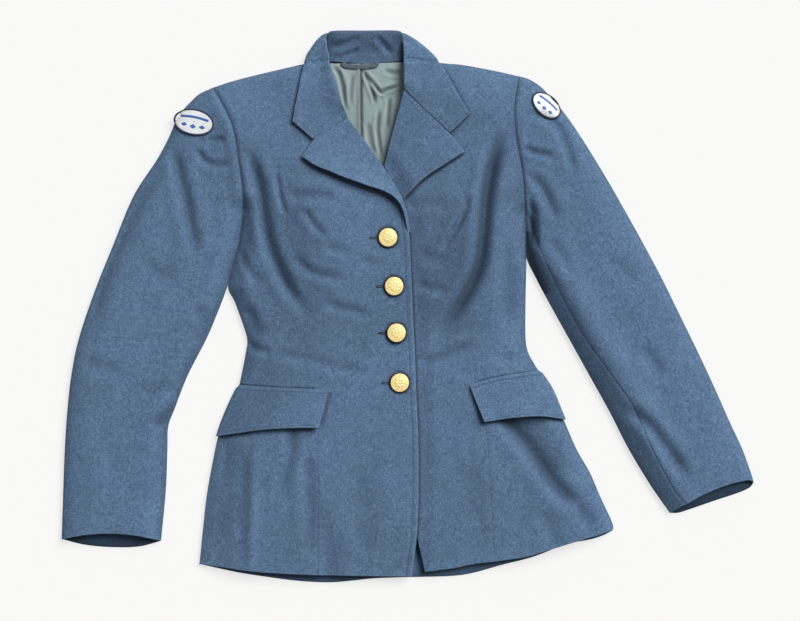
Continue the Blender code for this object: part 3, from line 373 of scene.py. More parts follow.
class Edge:
    """A curve in plan that is read by the share of its length."""

    def __init__(self, *tables, bent=False):
        dense = [np.array(t, float) if bent else smooth_curve(t) for t in tables]
        self.line = np.vstack([dense[0]] + [d[1:] for d in dense[1:]])
        self.length = lengths(self.line)[-1]

    def at(self, share):
        return read_line(self.line, np.clip(share, 0, 1) * self.length)

    def part(self, start, end):
        return Edge([tuple(p) for p in self.at(np.linspace(start, end, 60))], bent=True)

    def share_near(self, point):
        shares = np.linspace(0, 1, 1601)
        return float(shares[int(np.argmin(np.linalg.norm(self.at(shares) - np.array(point), axis=1)))])


def nearest_on(line, plan, reach=None):
    """Distance in plan from each point to a line, and the share of the line's length there."""
    points = np.asarray(plan, float).reshape(-1, 2)
    best = np.full(len(points), 1e6)
    share = np.zeros(len(points))
    near = np.arange(len(points))
    if reach is not None:
        low, high = line.min(axis=0) - reach, line.max(axis=0) + reach
        near = np.nonzero(np.all((points > low) & (points < high), axis=1))[0]
    along = lengths(line)
    some = points[near]
    gap, place = best[near], share[near]
    for k, (start, end) in enumerate(zip(line[:-1], line[1:])):
        run = end - start
        part = np.clip(((some - start) @ run) / max(run @ run, 1e-9), 0, 1)
        away = np.hypot(*(some - start - part[:, None] * run).T)
        closer = away < gap
        gap = np.where(closer, away, gap)
        place = np.where(closer, (along[k] + part * (along[k + 1] - along[k])) / along[-1], place)
    best[near], share[near] = gap, place
    shape = np.shape(plan)[:-1]
    return best.reshape(shape), share.reshape(shape)


def distance_to(lines, plan):
    return np.min([nearest_on(line, plan)[0] for line in lines], axis=0)


def round_off(distance, reach):
    """0 at a fold with an upright start, and 1 from its reach on: a quarter ellipse."""
    left = 1 - np.clip(distance / reach, 0, 1)
    return np.sqrt(1 - left**2)


def slope_up(t):
    """0 to 1 in an even slope with a soft shoulder."""
    bend = np.clip(t, 0.75, 1.25)
    return np.minimum(t, 0.75) + (bend - 0.75) - (bend - 0.75) ** 2


def soft_step(value, low, high):
    t = np.clip((value - low) / (high - low), 0, 1)
    return t * t * (3 - 2 * t)


FOLD_LINES = [
    smooth_curve(t)
    for t in (
        RIGHT_SHOULDER, RIGHT_SLEEVE_OUTER, RIGHT_SLEEVE_INNER, RIGHT_SIDE_ABOVE, RIGHT_SIDE_BELOW,
        LEFT_SHOULDER, LEFT_SLEEVE_OUTER, LEFT_SLEEVE_INNER, LEFT_SIDE_ABOVE, LEFT_SIDE_BELOW,
    )
]
SLOPED_FOLDS = {2: 19.0, 3: 20.0, 4: 54.0, 7: 23.0}  # folds that rise in an even slope, and how far
CRISP_FOLDS = [k for k in range(len(FOLD_LINES)) if k not in SLOPED_FOLDS]
BACK_HEMS = [smooth_curve(BACK_HEM_RIGHT), smooth_curve(BACK_HEM_LEFT)]
UNDER_CUFFS = [smooth_curve(RIGHT_CUFF_UNDER), smooth_curve(LEFT_CUFF_UNDER)]
ARMHOLES = [smooth_curve(RIGHT_ARMHOLE), smooth_curve(LEFT_ARMHOLE)]
GROOVES = [
    Groove(depth, width, smooth_curve(way)) for depth, width, way in (
        (1.5, 1.8, RIGHT_ARMHOLE),
        (1.5, 1.8, LEFT_ARMHOLE),
        (0.3, 1.2, RIGHT_SKIRT_SEAM),
        (0.12, 1.2, LEFT_SKIRT_SEAM),
        (0.6, 1.4, ((146.5, 124), *LEFT_FOREARM_SEAM)),
        (0.45, 1.2, RIGHT_DART),
        (0.45, 1.2, LEFT_DART),
        (0.3, 1.3, RIGHT_POCKET_SEAM),
        (0.3, 1.3, LEFT_POCKET_SEAM),
    )
]
OVERLAP_EDGE = np.vstack([smooth_curve(t) for t in (RIGHT_ROLL, RIGHT_EDGE_ABOVE, RIGHT_EDGE_BELOW)])
FRONT_STITCH_INSET = 7.0
STITCH_GROOVE = Groove(0.45, 1.0, OVERLAP_EDGE[60:] - (FRONT_STITCH_INSET, 0))


def neck_lift(plan):
    """The back of the neck rests on the collar's fall."""
    x, y = plan[..., 0], plan[..., 1]
    return NECK_LIFT * soft_step(y, 215, 280) * (1 - soft_step(np.abs(x - NECK_MIDDLE), 88, 150))


def form_height(plan):
    """Height of the smooth form of the upper cloth, and the distance to the nearest fold."""
    crisp = distance_to([FOLD_LINES[k] for k in CRISP_FOLDS], plan)
    rise, swell, gap = round_off(crisp, EDGE_REACH), round_off(crisp, WIDE_REACH), crisp
    for index, reach in SLOPED_FOLDS.items():
        away, _ = nearest_on(FOLD_LINES[index], plan)
        gap = np.minimum(gap, away)
        rise = np.minimum(rise, slope_up(away / reach))
        swell = np.minimum(swell, slope_up(1.6 * away / WIDE_REACH))
    x, y = plan[..., 0], plan[..., 1]
    full = sum(f.rise * bell(np.hypot((x - f.x) / f.across, (y - f.y) / f.along), 1) for f in FORMS)
    return FOLD_RISE + FOLD_RUN + EDGE_CROWN * rise + full * swell + neck_lift(plan), gap


def crease_height(creases, plan):
    """Soft troughs with a low ridge beside each, tapered at both ends."""
    total = np.zeros(np.shape(plan)[:-1])
    for crease in creases:
        gap, share = nearest_on(smooth_curve(crease.way, 6), plan, 3.6 * crease.width)
        ends = soft_step(share, 0.0, 0.2) * (1 - soft_step(share, 0.75, 1.0))
        trough = -crease.depth * bell(gap, crease.width)
        beside = crease.ridge * bell(gap - 2.0 * crease.width, crease.width)
        total += ends * (trough + beside)
    return total


RIPPLES = ((52.0, 0.75), (24.0, 0.28), (11.0, 0.10))  # wavelength and height of the cloth's unevenness


def ripple_height(plan, seed):
    flat = np.asarray(plan).reshape(-1, 2)
    total = [
        sum(rise * noise.noise(Vector((x / wave, y / (1.5 * wave), seed + wave))) for wave, rise in RIPPLES)
        for x, y in flat.tolist()
    ]
    return np.array(total).reshape(np.shape(plan)[:-1])


SEAM_LINE = 0.9  # half width of the dark line of a seam


def groove_height(grooves, plan):
    """Depth of the seam grooves, and a mask of the seams for the material."""
    depth = np.zeros(np.shape(plan)[:-1])
    mask = np.zeros(np.shape(plan)[:-1])
    for groove in grooves:
        gap, _ = nearest_on(groove.way, plan, 5 * groove.width)
        depth = np.minimum(depth, -groove.depth * bell(gap, groove.width))
        mask = np.maximum(mask, min(groove.depth, 1.0) * bell(gap, SEAM_LINE))
    return depth, mask


# Painted shade right beside folds, under edges, where the body falls away and in broad soft patches on the
# body: strength, half width, way
Shade = namedtuple("Shade", "strength width way")


def shade_lines(*rows):
    return tuple(Shade(strength, width, smooth_curve(way)) for strength, width, way in rows)


SLEEVE_SHADES_RIGHT = shade_lines(
    (0.55, 8.0, RIGHT_SLEEVE_INNER),
    (1.1, 2.6, RIGHT_SIDE_ABOVE[:3]),
    (0.25, 10.0, RIGHT_SLEEVE_OUTER),
)
SLEEVE_SHADES_LEFT = shade_lines(
    (0.75, 10.0, LEFT_SLEEVE_INNER),
    (1.5, 4.5, ((154, 114), (156, 96), (154, 76), (158, 56))),
    (1.6, 9.5, ((147, 96), (151, 74), (156, 54), (164, 34), (172, 12))),
)
BODY_SHADES = shade_lines(
    (0.45, 8.0, RIGHT_SIDE_ABOVE),
    (1.1, 2.6, RIGHT_SIDE_ABOVE[:3]),
    (1.1, 2.2, LEFT_SIDE_ABOVE[:2]),
    (0.35, 12.0, RIGHT_SIDE_BELOW),
    (0.4, 7.0, LEFT_SIDE_ABOVE),
    (0.35, 5.0, RIGHT_ARMHOLE),
    (0.35, 5.0, LEFT_ARMHOLE),
    (0.9, 3.4, ((-131, 183), (-97.6, 165), (-61.4, 151), (-34.4, 142), (-12, 126), (-4, 112))),
    (1.4, 2.6, ((70.5, 190.5), (47, 175.2), (20, 156.8), (-3.5, 132.5))),
    (1.4, 2.6, ((77, 239.5), (62.5, 225.3), (51, 213.5))),
    (1.2, 3.0, ((-145, 227.5), (-132, 216), (-119.5, 204.5))),
    (0.6, 2.4, ((-130, 300), (-135, 282), (-138.6, 262), (-144.6, 232))),
    (0.6, 2.4, ((40, 302), (49.4, 290), (60, 270), (69.4, 252), (79, 240))),
    (0.29, 52.0, ((-150, 130), (-142, 60), (-132, -10), (-140, -60))),
    (0.27, 48.0, ((60, 140), (70, 90), (52, 20), (60, -40))),
    (0.22, 17.0, ((-214, -170), (-219, -220), (-224, -280), (-228, -330))),
    (0.9, 2.8, ((-236, -163.5), (-200, -158), (-171.8, -154.4), (-135, -152.4), (-111, -152.4))),
    (0.9, 2.6, ((-96.2, -107), (-101.6, -128), (-107.4, -151))),
    (0.9, 3.2, ((195, -142), (167, -138), (137, -139.5), (96, -145.5))),
    (0.8, 2.4, ((74, -100), (83, -122), (92.5, -144))),
    (0.8, 4.0, ((120, -141), (138, -146), (156, -146), (172, -142))),
)
# Painted shadow rings on the cloth round each button.
BUTTON_SHADE_REACH = 12.8
ALL_ROUND = np.linspace(0, 2 * math.pi, 33)
BODY_SHADES += tuple(
    Shade(1.5, 1.9, (x, y) + BUTTON_SHADE_REACH * np.stack([np.cos(ALL_ROUND), np.sin(ALL_ROUND)], axis=-1))
    for x, y in BUTTONS
)
FOLD_SHADE = 0.6  # how dark the painted shade is right at a fold, where the cloth turns away from the light
FOLD_SHADE_WIDTH = 1.7


def shade_mask(shades, plan, gap):
    mask = FOLD_SHADE * bell(gap, FOLD_SHADE_WIDTH)
    for shade in shades:
        near, share = nearest_on(shade.way, plan, 3 * shade.width)
        ends = 0.5 + 0.5 * soft_step(share, 0.0, 0.06) * (1 - soft_step(share, 0.94, 1.0))
        mask = np.maximum(mask, shade.strength * ends * bell(near, shade.width))
    return mask


DIP = 3.6  # how far the left front sinks below the right one's edge
DIP_REACH = 24.0
LEAST_HEIGHT = 4.2  # the upper cloth never lies lower
DEEP_FOLD = 9.0  # a fold of this depth gets the darkest painted shade


def past_overlap(plan):
    """Distance across from the edge of the right front."""
    return plan[..., 0] - np.interp(-plan[..., 1], -OVERLAP_EDGE[:, 1], OVERLAP_EDGE[:, 0])


def upper_cloth(creases, seed, grooves=(), dip=False, head=0.0, shades=()):
    """A function for panels of the upper side that gives their heights, their seams, and the painted shade
    in their hollows and along the shade lines.
    """
    def height(plan):
        smooth, gap = form_height(plan)
        loose = soft_step(gap, 0, 7)
        away = distance_to(ARMHOLES, plan)
        sewn = soft_step(away, 0, 7)
        folds = crease_height(creases, plan)
        rough = (folds + ripple_height(plan, seed)) * loose * sewn
        depth, seam = groove_height([*GROOVES, *grooves], plan)
        if head:
            rough = rough + head * loose * bell(away - 8, 6)
        total = smooth + rough + depth * soft_step(gap, 0, 3)
        total = np.maximum(total, LEAST_HEIGHT + 0.1 * smooth)
        # Painted shade in the troughs of the creases, at the folds and along the shade lines.
        hollow = np.clip(-folds * loose * sewn / DEEP_FOLD, 0, 1)
        hollow = np.maximum(hollow, shade_mask(shades, plan, gap))
        if dip:
            past = past_overlap(plan)
            # Painted shade on the left front, right beside the right front's edge.
            hollow = np.maximum(hollow, 1.3 * bell(past, 2.5))
            total = total - DIP * (1 - soft_step(past, 1, DIP_REACH))
        return total, np.stack([seam, hollow], axis=-1)
    return height


def plain(points):
    """No seam and no hollow."""
    return np.zeros((*points.shape[:2], 2))


def under_cloth(plan):
    """The flat underside, turned up at the folds and lifted at the neck."""
    gap = distance_to(FOLD_LINES, plan)
    arc = UNDER_TURN - np.sqrt(UNDER_TURN**2 - (UNDER_TURN - np.clip(gap, 0, UNDER_TURN)) ** 2)
    rough = -crease_height(BACK_CREASES, plan) * soft_step(gap, 20, 60)
    _, seam = groove_height([Groove(0.5, 1.4, smooth_curve(CENTRE_BACK))], plan)
    # Painted shade on the insides of the back's hem and of the under cuffs, where they show beyond the
    # upper cloth.
    hem, cuff = distance_to(BACK_HEMS, plan), distance_to(UNDER_CUFFS, plan)
    inside = np.maximum(0.6 * bell(hem, 12), 1.35 * bell(cuff, 16))
    return arc + neck_lift(plan) + rough * 0.6, np.stack([seam, inside], axis=-1)


# Grids of points

def stations(width, start, end, count):
    """Places across a piece, as shares of its width: insets at both ends and even steps between."""
    width = np.asarray(width, float)[..., None]
    first, last = np.array(start, float), np.array(end, float)
    tight = np.minimum(1.0, 0.42 * width / max(first[-1], last[-1], 1e-6))
    near, far = first * tight / width, 1 - last[::-1] * tight / width
    steps = np.linspace(0, 1, count + 1)[1:-1]
    middle = near[..., -1:] + steps * (far[..., :1] - near[..., -1:])
    return np.concatenate([near, middle, far], axis=-1)


def bow(edge, u):
    return edge.at(u) - (1 - u)[..., None] * edge.at(0.0) - u[..., None] * edge.at(1.0)


def coons(left, right, top, bottom, v, columns):
    """Plan points of a four-sided piece of cloth, by blending its four edges."""
    start, end = left.at(v), right.at(v)
    width = np.linalg.norm(end - start, axis=1)
    width[0] = top.length if v[0] == 0 else width[0]
    u = columns(width)
    across = (1 - u)[..., None] * start[:, None] + u[..., None] * end[:, None]
    down = np.asarray(v)[:, None, None]
    return across + (1 - down) * bow(top, u) + down * bow(bottom, u), u


FOLD_INSETS = (0.0, 0.0, 0.25, 0.8, 1.8, 3.4, 5.6)
RIM_INSETS = (0.0, 0.12, 0.4, 0.8, 1.4, 2.4, 4.0)
SEAM_INSETS = (0.0, 0.8, 1.6, 2.6, 4.2)
FRONT_EDGE_INSETS = (0.0, 0.12, 0.4, 0.8, 1.4, 2.6, 4.4, 5.8, 6.4, 7.0, 7.6, 8.2, 9.6)
UNDER_INSETS = (0.0, 0.5, 1.4, 2.8)

Grid = namedtuple("Grid", "points wall rim marks")


def rim_distance(points, free):
    """Distance along the cloth from its cut edges, for the sides named in free."""
    down = np.cumsum(np.linalg.norm(np.diff(points, axis=0), axis=2), axis=0)
    down = np.pad(down, ((1, 0), (0, 0)))
    across = np.cumsum(np.linalg.norm(np.diff(points, axis=1), axis=2), axis=1)
    across = np.pad(across, ((0, 0), (1, 0)))
    ways = {"top": down, "bottom": down[-1:] - down, "start": across, "end": across[:, -1:] - across}
    return np.min([np.full(points.shape[:2], 1e3)] + [ways[side] for side in free], axis=0)


GORGES = (  # seams between the collar and the lapels, and how far their edges sink
    (((-78, 231.8), (-114, 209)), 0.1),
    (((-2, 265.8), (48.5, 217.8)), 0.45),
)


def outward(points, flip=False):
    """Unit normals of a grid, on the cloth's outside."""
    down, across = np.gradient(points, axis=0), np.gradient(points, axis=1)
    return unit(np.cross(down, across)) * (-1 if flip else 1)


def rounded(points, marks, free, wall=WALL, hem=HEM_WALL, depth=HEM_DEPTH, rim=RIM, flip=False):
    """A grid whose cut edges are rounded, with its wall thicker along a turned-in hem."""
    far = rim_distance(points, free)
    share = round_off(far, rim)
    for line, sunk_share in GORGES:
        gap, _ = nearest_on(np.array(line, float), points[..., :2], 6.0)
        share = np.maximum(share, (1 - sunk_share) * (1 - soft_step(gap, 1.6, 3.2)))
        far = far + 3 * (1 - soft_step(gap, 1.6, 3.2))
    full = wall + (hem - wall) * (1 - soft_step(far, 0.85 * depth, depth))
    sunk = points - outward(points, flip) * ((1 - share) * full / 2)[..., None]
    return Grid(sunk, full * np.maximum(share, 0.06), 1 - np.clip(far / 2.6, 0, 1), marks)


def raised(plan, heights):
    return np.concatenate([plan, heights[..., None]], axis=-1)


def on_cloth(plan, height, low=()):
    """Points and marks of a panel. Columns in low lie at the seam of the fold."""
    heights, marks = height(plan)
    points = raised(plan, heights)
    for column in low:
        points[:, column, 2] = FOLD_RISE + neck_lift(plan)[:, column]
    return points, marks


def spread(start, end, count):
    """Columns across a piece of any width, with insets at both sides."""
    return lambda width: stations(width, start, end, count)


def panel(edges, rows, columns, height, low=(), free=("bottom",), flip=False):
    """A four-sided panel laid on a height, with its cut edges rounded."""
    plan, _ = coons(*edges, rows, columns)
    return rounded(*on_cloth(plan, height, low), free, flip=flip)


# Meshes

def link(name, data):
    """An object of the scene."""
    item = bpy.data.objects.new(name, data)
    bpy.context.scene.collection.objects.link(item)
    return item


def make_cloth(name, grids, material, grain=0.0, flip=False):
    """One shell of cloth through its grids, with the cloth's own coordinates kept for the weave."""
    places, walls, rims, marks, faces = [], [], [], [], []
    start = 0
    for grid in grids:
        rows, columns = grid.points.shape[:2]
        corner = (start + np.arange(rows - 1)[:, None] * columns + np.arange(columns - 1)).ravel()
        quads = np.stack([corner, corner + columns, corner + columns + 1, corner + 1], axis=1)
        faces.append(quads[:, ::-1] if flip else quads)
        places.append(grid.points.reshape(-1, 3))
        walls.append(grid.wall.ravel())
        rims.append(grid.rim.ravel())
        marks.append(grid.marks.reshape(-1, 2))
        start += rows * columns
    along = np.concatenate(places) * MM
    mesh = bpy.data.meshes.new(name)
    mesh.from_pydata(along.tolist(), [], np.concatenate(faces).tolist())
    turn = math.radians(grain)
    woven = np.stack([
        along[:, 0] * math.cos(turn) + along[:, 1] * math.sin(turn),
        -along[:, 0] * math.sin(turn) + along[:, 1] * math.cos(turn),
        along[:, 2],
    ], axis=1)
    mesh.attributes.new("grain", "FLOAT_VECTOR", "POINT").data.foreach_set("vector", woven.ravel())
    seams, hollows = np.concatenate(marks).T
    levels = {"rim": np.concatenate(rims), "seam": seams, "hollow": hollows, "wall": np.concatenate(walls)}
    for label, values in levels.items():
        mesh.attributes.new(label, "FLOAT", "POINT").data.foreach_set("value", values.copy())
    work = bmesh.new()
    work.from_mesh(mesh)
    bmesh.ops.remove_doubles(work, verts=work.verts, dist=0.02 * MM)
    bmesh.ops.dissolve_degenerate(work, edges=work.edges, dist=0.01 * MM)
    work.to_mesh(mesh)
    work.free()
    item = link(name, mesh)
    kept = np.empty(len(mesh.vertices), np.float32)
    mesh.attributes["wall"].data.foreach_get("value", kept)
    mesh.attributes.remove(mesh.attributes["wall"])
    thickest = float(kept.max())
    group = item.vertex_groups.new(name="wall")
    shares = np.round(kept / thickest, 2)
    for share in np.unique(shares):
        group.add(np.nonzero(shares == share)[0].tolist(), float(share), "REPLACE")
    shell = item.modifiers.new("thickness", "SOLIDIFY")
    shell.thickness = thickest * MM
    shell.offset = -1
    shell.vertex_group = "wall"
    shell.thickness_vertex_group = 0.0
    mesh.shade_smooth()
    mesh.materials.append(material)
    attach(item, "root")
    return item


def lay_sheet(node, grids, material, grain=0.0, flip=False):
    """The cloth of one node: its mesh, in place of the node's part, which it hides."""
    item = make_cloth(f"{node}_cloth", grids, material, grain, flip)
    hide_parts(node)


def steps_for(length, spacing=SPACING):
    return max(2, int(round(length / spacing)))


SLEEVE_HEAD = 1.5  # how far the head of a sleeve stands up beside its armhole
RIGHT_GRAIN = -14  # degrees that the sleeves' grain is turned
LEFT_GRAIN = 27
STRIP_WIDTH = 36.0  # of the left under sleeve, where it comes round to the forearm seam


def make_sleeve_right(wool):
    outer, inner, armhole = Edge(RIGHT_SLEEVE_OUTER), Edge(RIGHT_SLEEVE_INNER), Edge(RIGHT_ARMHOLE)
    height = upper_cloth(RIGHT_SLEEVE_CREASES, 3.0, head=SLEEVE_HEAD, shades=SLEEVE_SHADES_RIGHT)
    rows = stations(outer.length, SEAM_INSETS, RIM_INSETS, steps_for(outer.length))
    columns = spread(FOLD_INSETS, FOLD_INSETS, steps_for(armhole.length))
    top = panel((outer, inner, armhole, Edge(RIGHT_CUFF_OVER)), rows, columns, height, (0, -1))
    lay_sheet("right_top_sleeve", [top], wool, grain=RIGHT_GRAIN)

    rows = stations(outer.length, UNDER_INSETS, RIM_INSETS, steps_for(outer.length, UNDER_SPACING))
    columns = spread(UNDER_INSETS, UNDER_INSETS, steps_for(armhole.length, UNDER_SPACING))
    edges = (outer, inner, armhole, Edge(RIGHT_CUFF_UNDER))
    under = panel(edges, rows, columns, under_cloth, (0, -1), flip=True)
    lay_sheet("right_under_sleeve", [under], wool, grain=RIGHT_GRAIN, flip=True)


def make_sleeve_left(wool):
    """The left sleeve. Its under sleeve comes round the inner fold to the forearm seam."""
    outer, inner, armhole = Edge(LEFT_SLEEVE_OUTER), Edge(LEFT_SLEEVE_INNER), Edge(LEFT_ARMHOLE)
    seam_line = Edge((tuple(armhole.at(LEFT_SEAM_HEAD)), *LEFT_FOREARM_SEAM))
    cuff = Edge(LEFT_CUFF_OVER)
    cuff_share = cuff.share_near(LEFT_FOREARM_SEAM[-1])
    height = upper_cloth(LEFT_SLEEVE_CREASES, 9.0, head=SLEEVE_HEAD, shades=SLEEVE_SHADES_LEFT)
    rows = stations(outer.length, SEAM_INSETS, RIM_INSETS, steps_for(outer.length))
    columns = spread(FOLD_INSETS, SEAM_INSETS, steps_for(armhole.length))
    edges = (outer, seam_line, armhole.part(0, LEFT_SEAM_HEAD), cuff.part(0, cuff_share))
    top = panel(edges, rows, columns, height, (0,), flip=True)
    lay_sheet("left_top_sleeve", [top], wool, grain=LEFT_GRAIN, flip=True)

    edges = (inner, seam_line, armhole.part(1, LEFT_SEAM_HEAD), cuff.part(1, cuff_share))
    strip = panel(edges, rows, spread(FOLD_INSETS, SEAM_INSETS, steps_for(STRIP_WIDTH)), height, (0,))
    columns = spread(UNDER_INSETS, UNDER_INSETS, steps_for(armhole.length, UNDER_SPACING))
    below = panel((outer, inner, armhole, Edge(LEFT_CUFF_UNDER)), rows, columns, under_cloth, (0, -1))
    joined = Grid(*(np.concatenate([a, b], axis=1) for a, b in zip(below, strip)))
    lay_sheet("left_under_sleeve", [joined], wool, grain=LEFT_GRAIN)


def sew_fold(points, rows, armhole, whole):
    """Puts a panel's first column on the fold, from below the armhole."""
    share = Edge(armhole).length / whole.length
    points[np.asarray(rows) >= share, 0, 2] = FOLD_RISE


Cut = namedtuple("Cut", "armhole sides shoulder inner pocket rest seam_line hems neck back_hem")
CUTS = {
    "right": Cut(
        RIGHT_ARMHOLE, (RIGHT_SIDE_ABOVE, RIGHT_SIDE_BELOW), RIGHT_SHOULDER,
        (RIGHT_ROLL, RIGHT_EDGE_ABOVE, RIGHT_EDGE_BELOW), RIGHT_POCKET_SEAM, RIGHT_WAIST_REST,
        RIGHT_SKIRT_SEAM, (RIGHT_HEM_SIDE, RIGHT_HEM_FRONT), BACK_NECK_RIGHT, BACK_HEM_RIGHT,
    ),
    "left": Cut(
        LEFT_ARMHOLE, (LEFT_SIDE_ABOVE, LEFT_SIDE_BELOW), LEFT_SHOULDER,
        (LEFT_ROLL, LEFT_EDGE_ABOVE, LEFT_EDGE_BELOW), LEFT_POCKET_SEAM, LEFT_WAIST_REST,
        LEFT_SKIRT_SEAM, (LEFT_HEM_SIDE, LEFT_HEM_FRONT), BACK_NECK_LEFT, BACK_HEM_LEFT,
    ),
}


def make_front(side, wool, height):
    """One front from the shoulder to the hem, and the side panel of its skirt."""
    flip = side == "left"
    armhole, sides, shoulder, inner, pocket, rest, seam_line, hems, _, _ = CUTS[side]
    outer = Edge(armhole, sides[0])
    waist = Edge(pocket, rest)
    split = Edge(pocket).length / waist.length
    rows = stations(outer.length, SEAM_INSETS, (0.0,), steps_for(outer.length))
    side_count = steps_for(Edge(pocket).length)
    front_columns = spread(SEAM_INSETS, FRONT_EDGE_INSETS, steps_for(Edge(rest).length))

    def columns(width):
        first = stations(split * width, FOLD_INSETS, SEAM_INSETS, side_count) * split
        second = split + (1 - split) * front_columns((1 - split) * width)
        return np.concatenate([first[..., :-1], second], axis=-1)

    plan, _ = coons(outer, Edge(inner[0], inner[1]), Edge(shoulder).part(1, 0), waist, rows, columns)
    points, marks = on_cloth(plan, height)
    sew_fold(points, rows, armhole, outer)
    points[0, :, 2] = FOLD_RISE + neck_lift(plan)[0]
    upper = rounded(points, marks, ("end",), flip=flip)

    lower_edge = Edge(inner[2])
    rows = stations(lower_edge.length, SEAM_INSETS, RIM_INSETS, steps_for(lower_edge.length))
    edges = (Edge(seam_line), lower_edge, Edge(rest), Edge(hems[1]))
    lower = panel(edges, rows, front_columns, height, free=("end", "bottom"), flip=flip)
    lower.points[0] = upper.points[-1, upper.points.shape[1] - lower.points.shape[1] :]
    lay_sheet(f"{side}_front", [upper, lower], wool, flip=flip)

    edges = (Edge(sides[1]), Edge(seam_line), Edge(pocket), Edge(hems[0]))
    columns = spread(FOLD_INSETS, SEAM_INSETS, steps_for(Edge(hems[0]).length))
    skirt = panel(edges, rows, columns, height, (0,), flip=flip)
    lay_sheet(f"{side}_side_skirt", [skirt], wool, flip=flip)


def make_back(side, wool):
    armhole, sides, shoulder, *_, neck, hem = CUTS[side]
    whole = Edge(armhole, *sides)
    top = Edge(shoulder[::-1], neck)
    rows = stations(whole.length, UNDER_INSETS, RIM_INSETS, steps_for(whole.length, UNDER_SPACING))
    columns = spread(UNDER_INSETS, UNDER_INSETS, steps_for(top.length, UNDER_SPACING))
    plan, u = coons(whole, Edge(CENTRE_BACK), top, Edge(hem), rows, columns)
    points, marks = on_cloth(plan, under_cloth)
    sew_fold(points, rows, armhole, whole)
    sewn = u[0] <= Edge(shoulder).length / top.length
    points[0, sewn, 2] = FOLD_RISE + neck_lift(plan)[0, sewn]
    grid = rounded(points, marks, ("bottom",), flip=side == "right")
    lay_sheet(f"back_{side}", [grid], wool, flip=side == "right")


# Folded leaves: lapels, collar and flaps

CURL_STEPS = 7
CURL_RETURN = 3.0  # how far the cloth runs on under itself after its curl


def curled(points, radius, side):
    """Adds columns that turn the cloth round under itself beyond its first or last column."""
    edge, before = (points[:, 0], points[:, 1]) if side == "start" else (points[:, -1], points[:, -2])
    away = unit((edge - before)[:, :2])
    added = []
    for k in range(1, CURL_STEPS + 1):
        angle = math.pi * k / CURL_STEPS
        plan = edge[:, :2] + radius * math.sin(angle) * away
        added.append(np.concatenate([plan, edge[:, 2:] - radius * (1 - math.cos(angle))], axis=1))
    plan = edge[:, :2] - CURL_RETURN * away
    added.append(np.concatenate([plan, edge[:, 2:] - 2 * radius], axis=1))
    added = np.stack(added, axis=1)
    if side == "start":
        return np.concatenate([added[:, ::-1], points], axis=1)
    return np.concatenate([points, added], axis=1)


def leaf_grid(points, free, curl_side, curl_radius, flip=False):
    """A folded leaf of cloth: rounded at its free edges, and curled under at its roll."""
    grid = rounded(points, plain(points), free, LEAF_WALL, LEAF_WALL, 1.0, 1.6, flip)
    rolled = curled(grid.points, curl_radius, curl_side)
    none = np.zeros((len(points), rolled.shape[1] - points.shape[1]))

    def widened(values, added):
        return np.concatenate((added, values) if curl_side == "start" else (values, added), axis=1)

    return Grid(
        rolled, widened(grid.wall, none + 0.7), widened(grid.rim, none), widened(grid.marks, plain(none)),
    )


LAPEL_SEAT = 3.3  # from the front's outside to the lapel's
LAPEL_CURL = 1.8
LEAF_INSETS = (0.0, 0.8, 2.0)
RIGHT_LAPEL_LIFT = 9.5
LEFT_LAPEL_LIFT = 5.0


def make_lapel(side, wool, roll, outer, top, bottom, lift, drop, grain):
    """A front turned back on itself. Its loose edge stands off the front."""
    length = Edge(roll).length
    gorge = Edge(top[::-1], bent=True)
    rows = stations(length, RIM_INSETS, LEAF_INSETS, steps_for(length))
    columns = spread(RIM_INSETS, (*LEAF_INSETS, 4.0), steps_for(gorge.length))
    plan, u = coons(Edge(outer), Edge(roll), gorge, Edge(bottom), rows, columns)
    along = np.sin(np.pi * np.clip(rows * 0.93 + 0.07, 0, 1))[:, None] ** 0.6
    stand = lift * along * (1 - u) ** 1.2
    heights = form_height(plan)[0] + LAPEL_SEAT + stand + 0.5 * ripple_height(plan, 21.0) - drop(plan)
    flip = side == "left"
    grid = leaf_grid(raised(plan, heights), ("top", "start"), "end", LAPEL_CURL, flip)
    lay_sheet(f"{side}_lapel", [grid], wool, grain=grain, flip=flip)


def right_lapel_drop(plan):
    """The foot of the right lapel runs out into the front edge."""
    return 1.25 * LAPEL_SEAT * (1 - soft_step(plan[..., 1], 96, 134))


def left_lapel_drop(plan):
    """The left lapel sinks under the roll of the right one."""
    gap, _ = nearest_on(smooth_curve(LEFT_LAPEL_TUCK), plan)
    return 4.6 * (1 - soft_step(gap, 1.0, 24.0))


def spaced(points, count):
    """Points along a line in space, evenly spaced but closer at both ends."""
    length = lengths(points)[-1]
    return read_line(points, stations(length, (0.0, 1.0, 2.4), RIM_INSETS, count) * length)


COLLAR_COUNT = 24
COLLAR_SEAT = 3.6
COLLAR_ROLL_RISE = 3.0
COLLAR_CURL = 1.7
LEAF_ROLL_HEIGHT = 19.6
LEAF_SIDE_HEIGHT = 14.0
LEAF_RISE = 0.9  # the outer edge of a leaf stands up a little


def collar_sections():
    """Rows of the collar from leaf to leaf: where its roll, side and end lie, and how it turns."""
    def leaf_row(leaf):
        return (*leaf[:2], LEAF_ROLL_HEIGHT, *leaf[2:], 0.0, *leaf[2:], 0.0, LEAF_SIDE_HEIGHT)

    def fall_row(fall):
        return (
            fall.roll_x, fall.roll_y, fall.roll_z, fall.side_x, fall.side_y,
            fall.side_z / 2, fall.end_x, fall.end_y, 1.0, fall.side_z,
        )

    return np.array([*map(leaf_row, RIGHT_LEAF), *map(fall_row, FALL_UNDER), *map(leaf_row, LEFT_LEAF)])


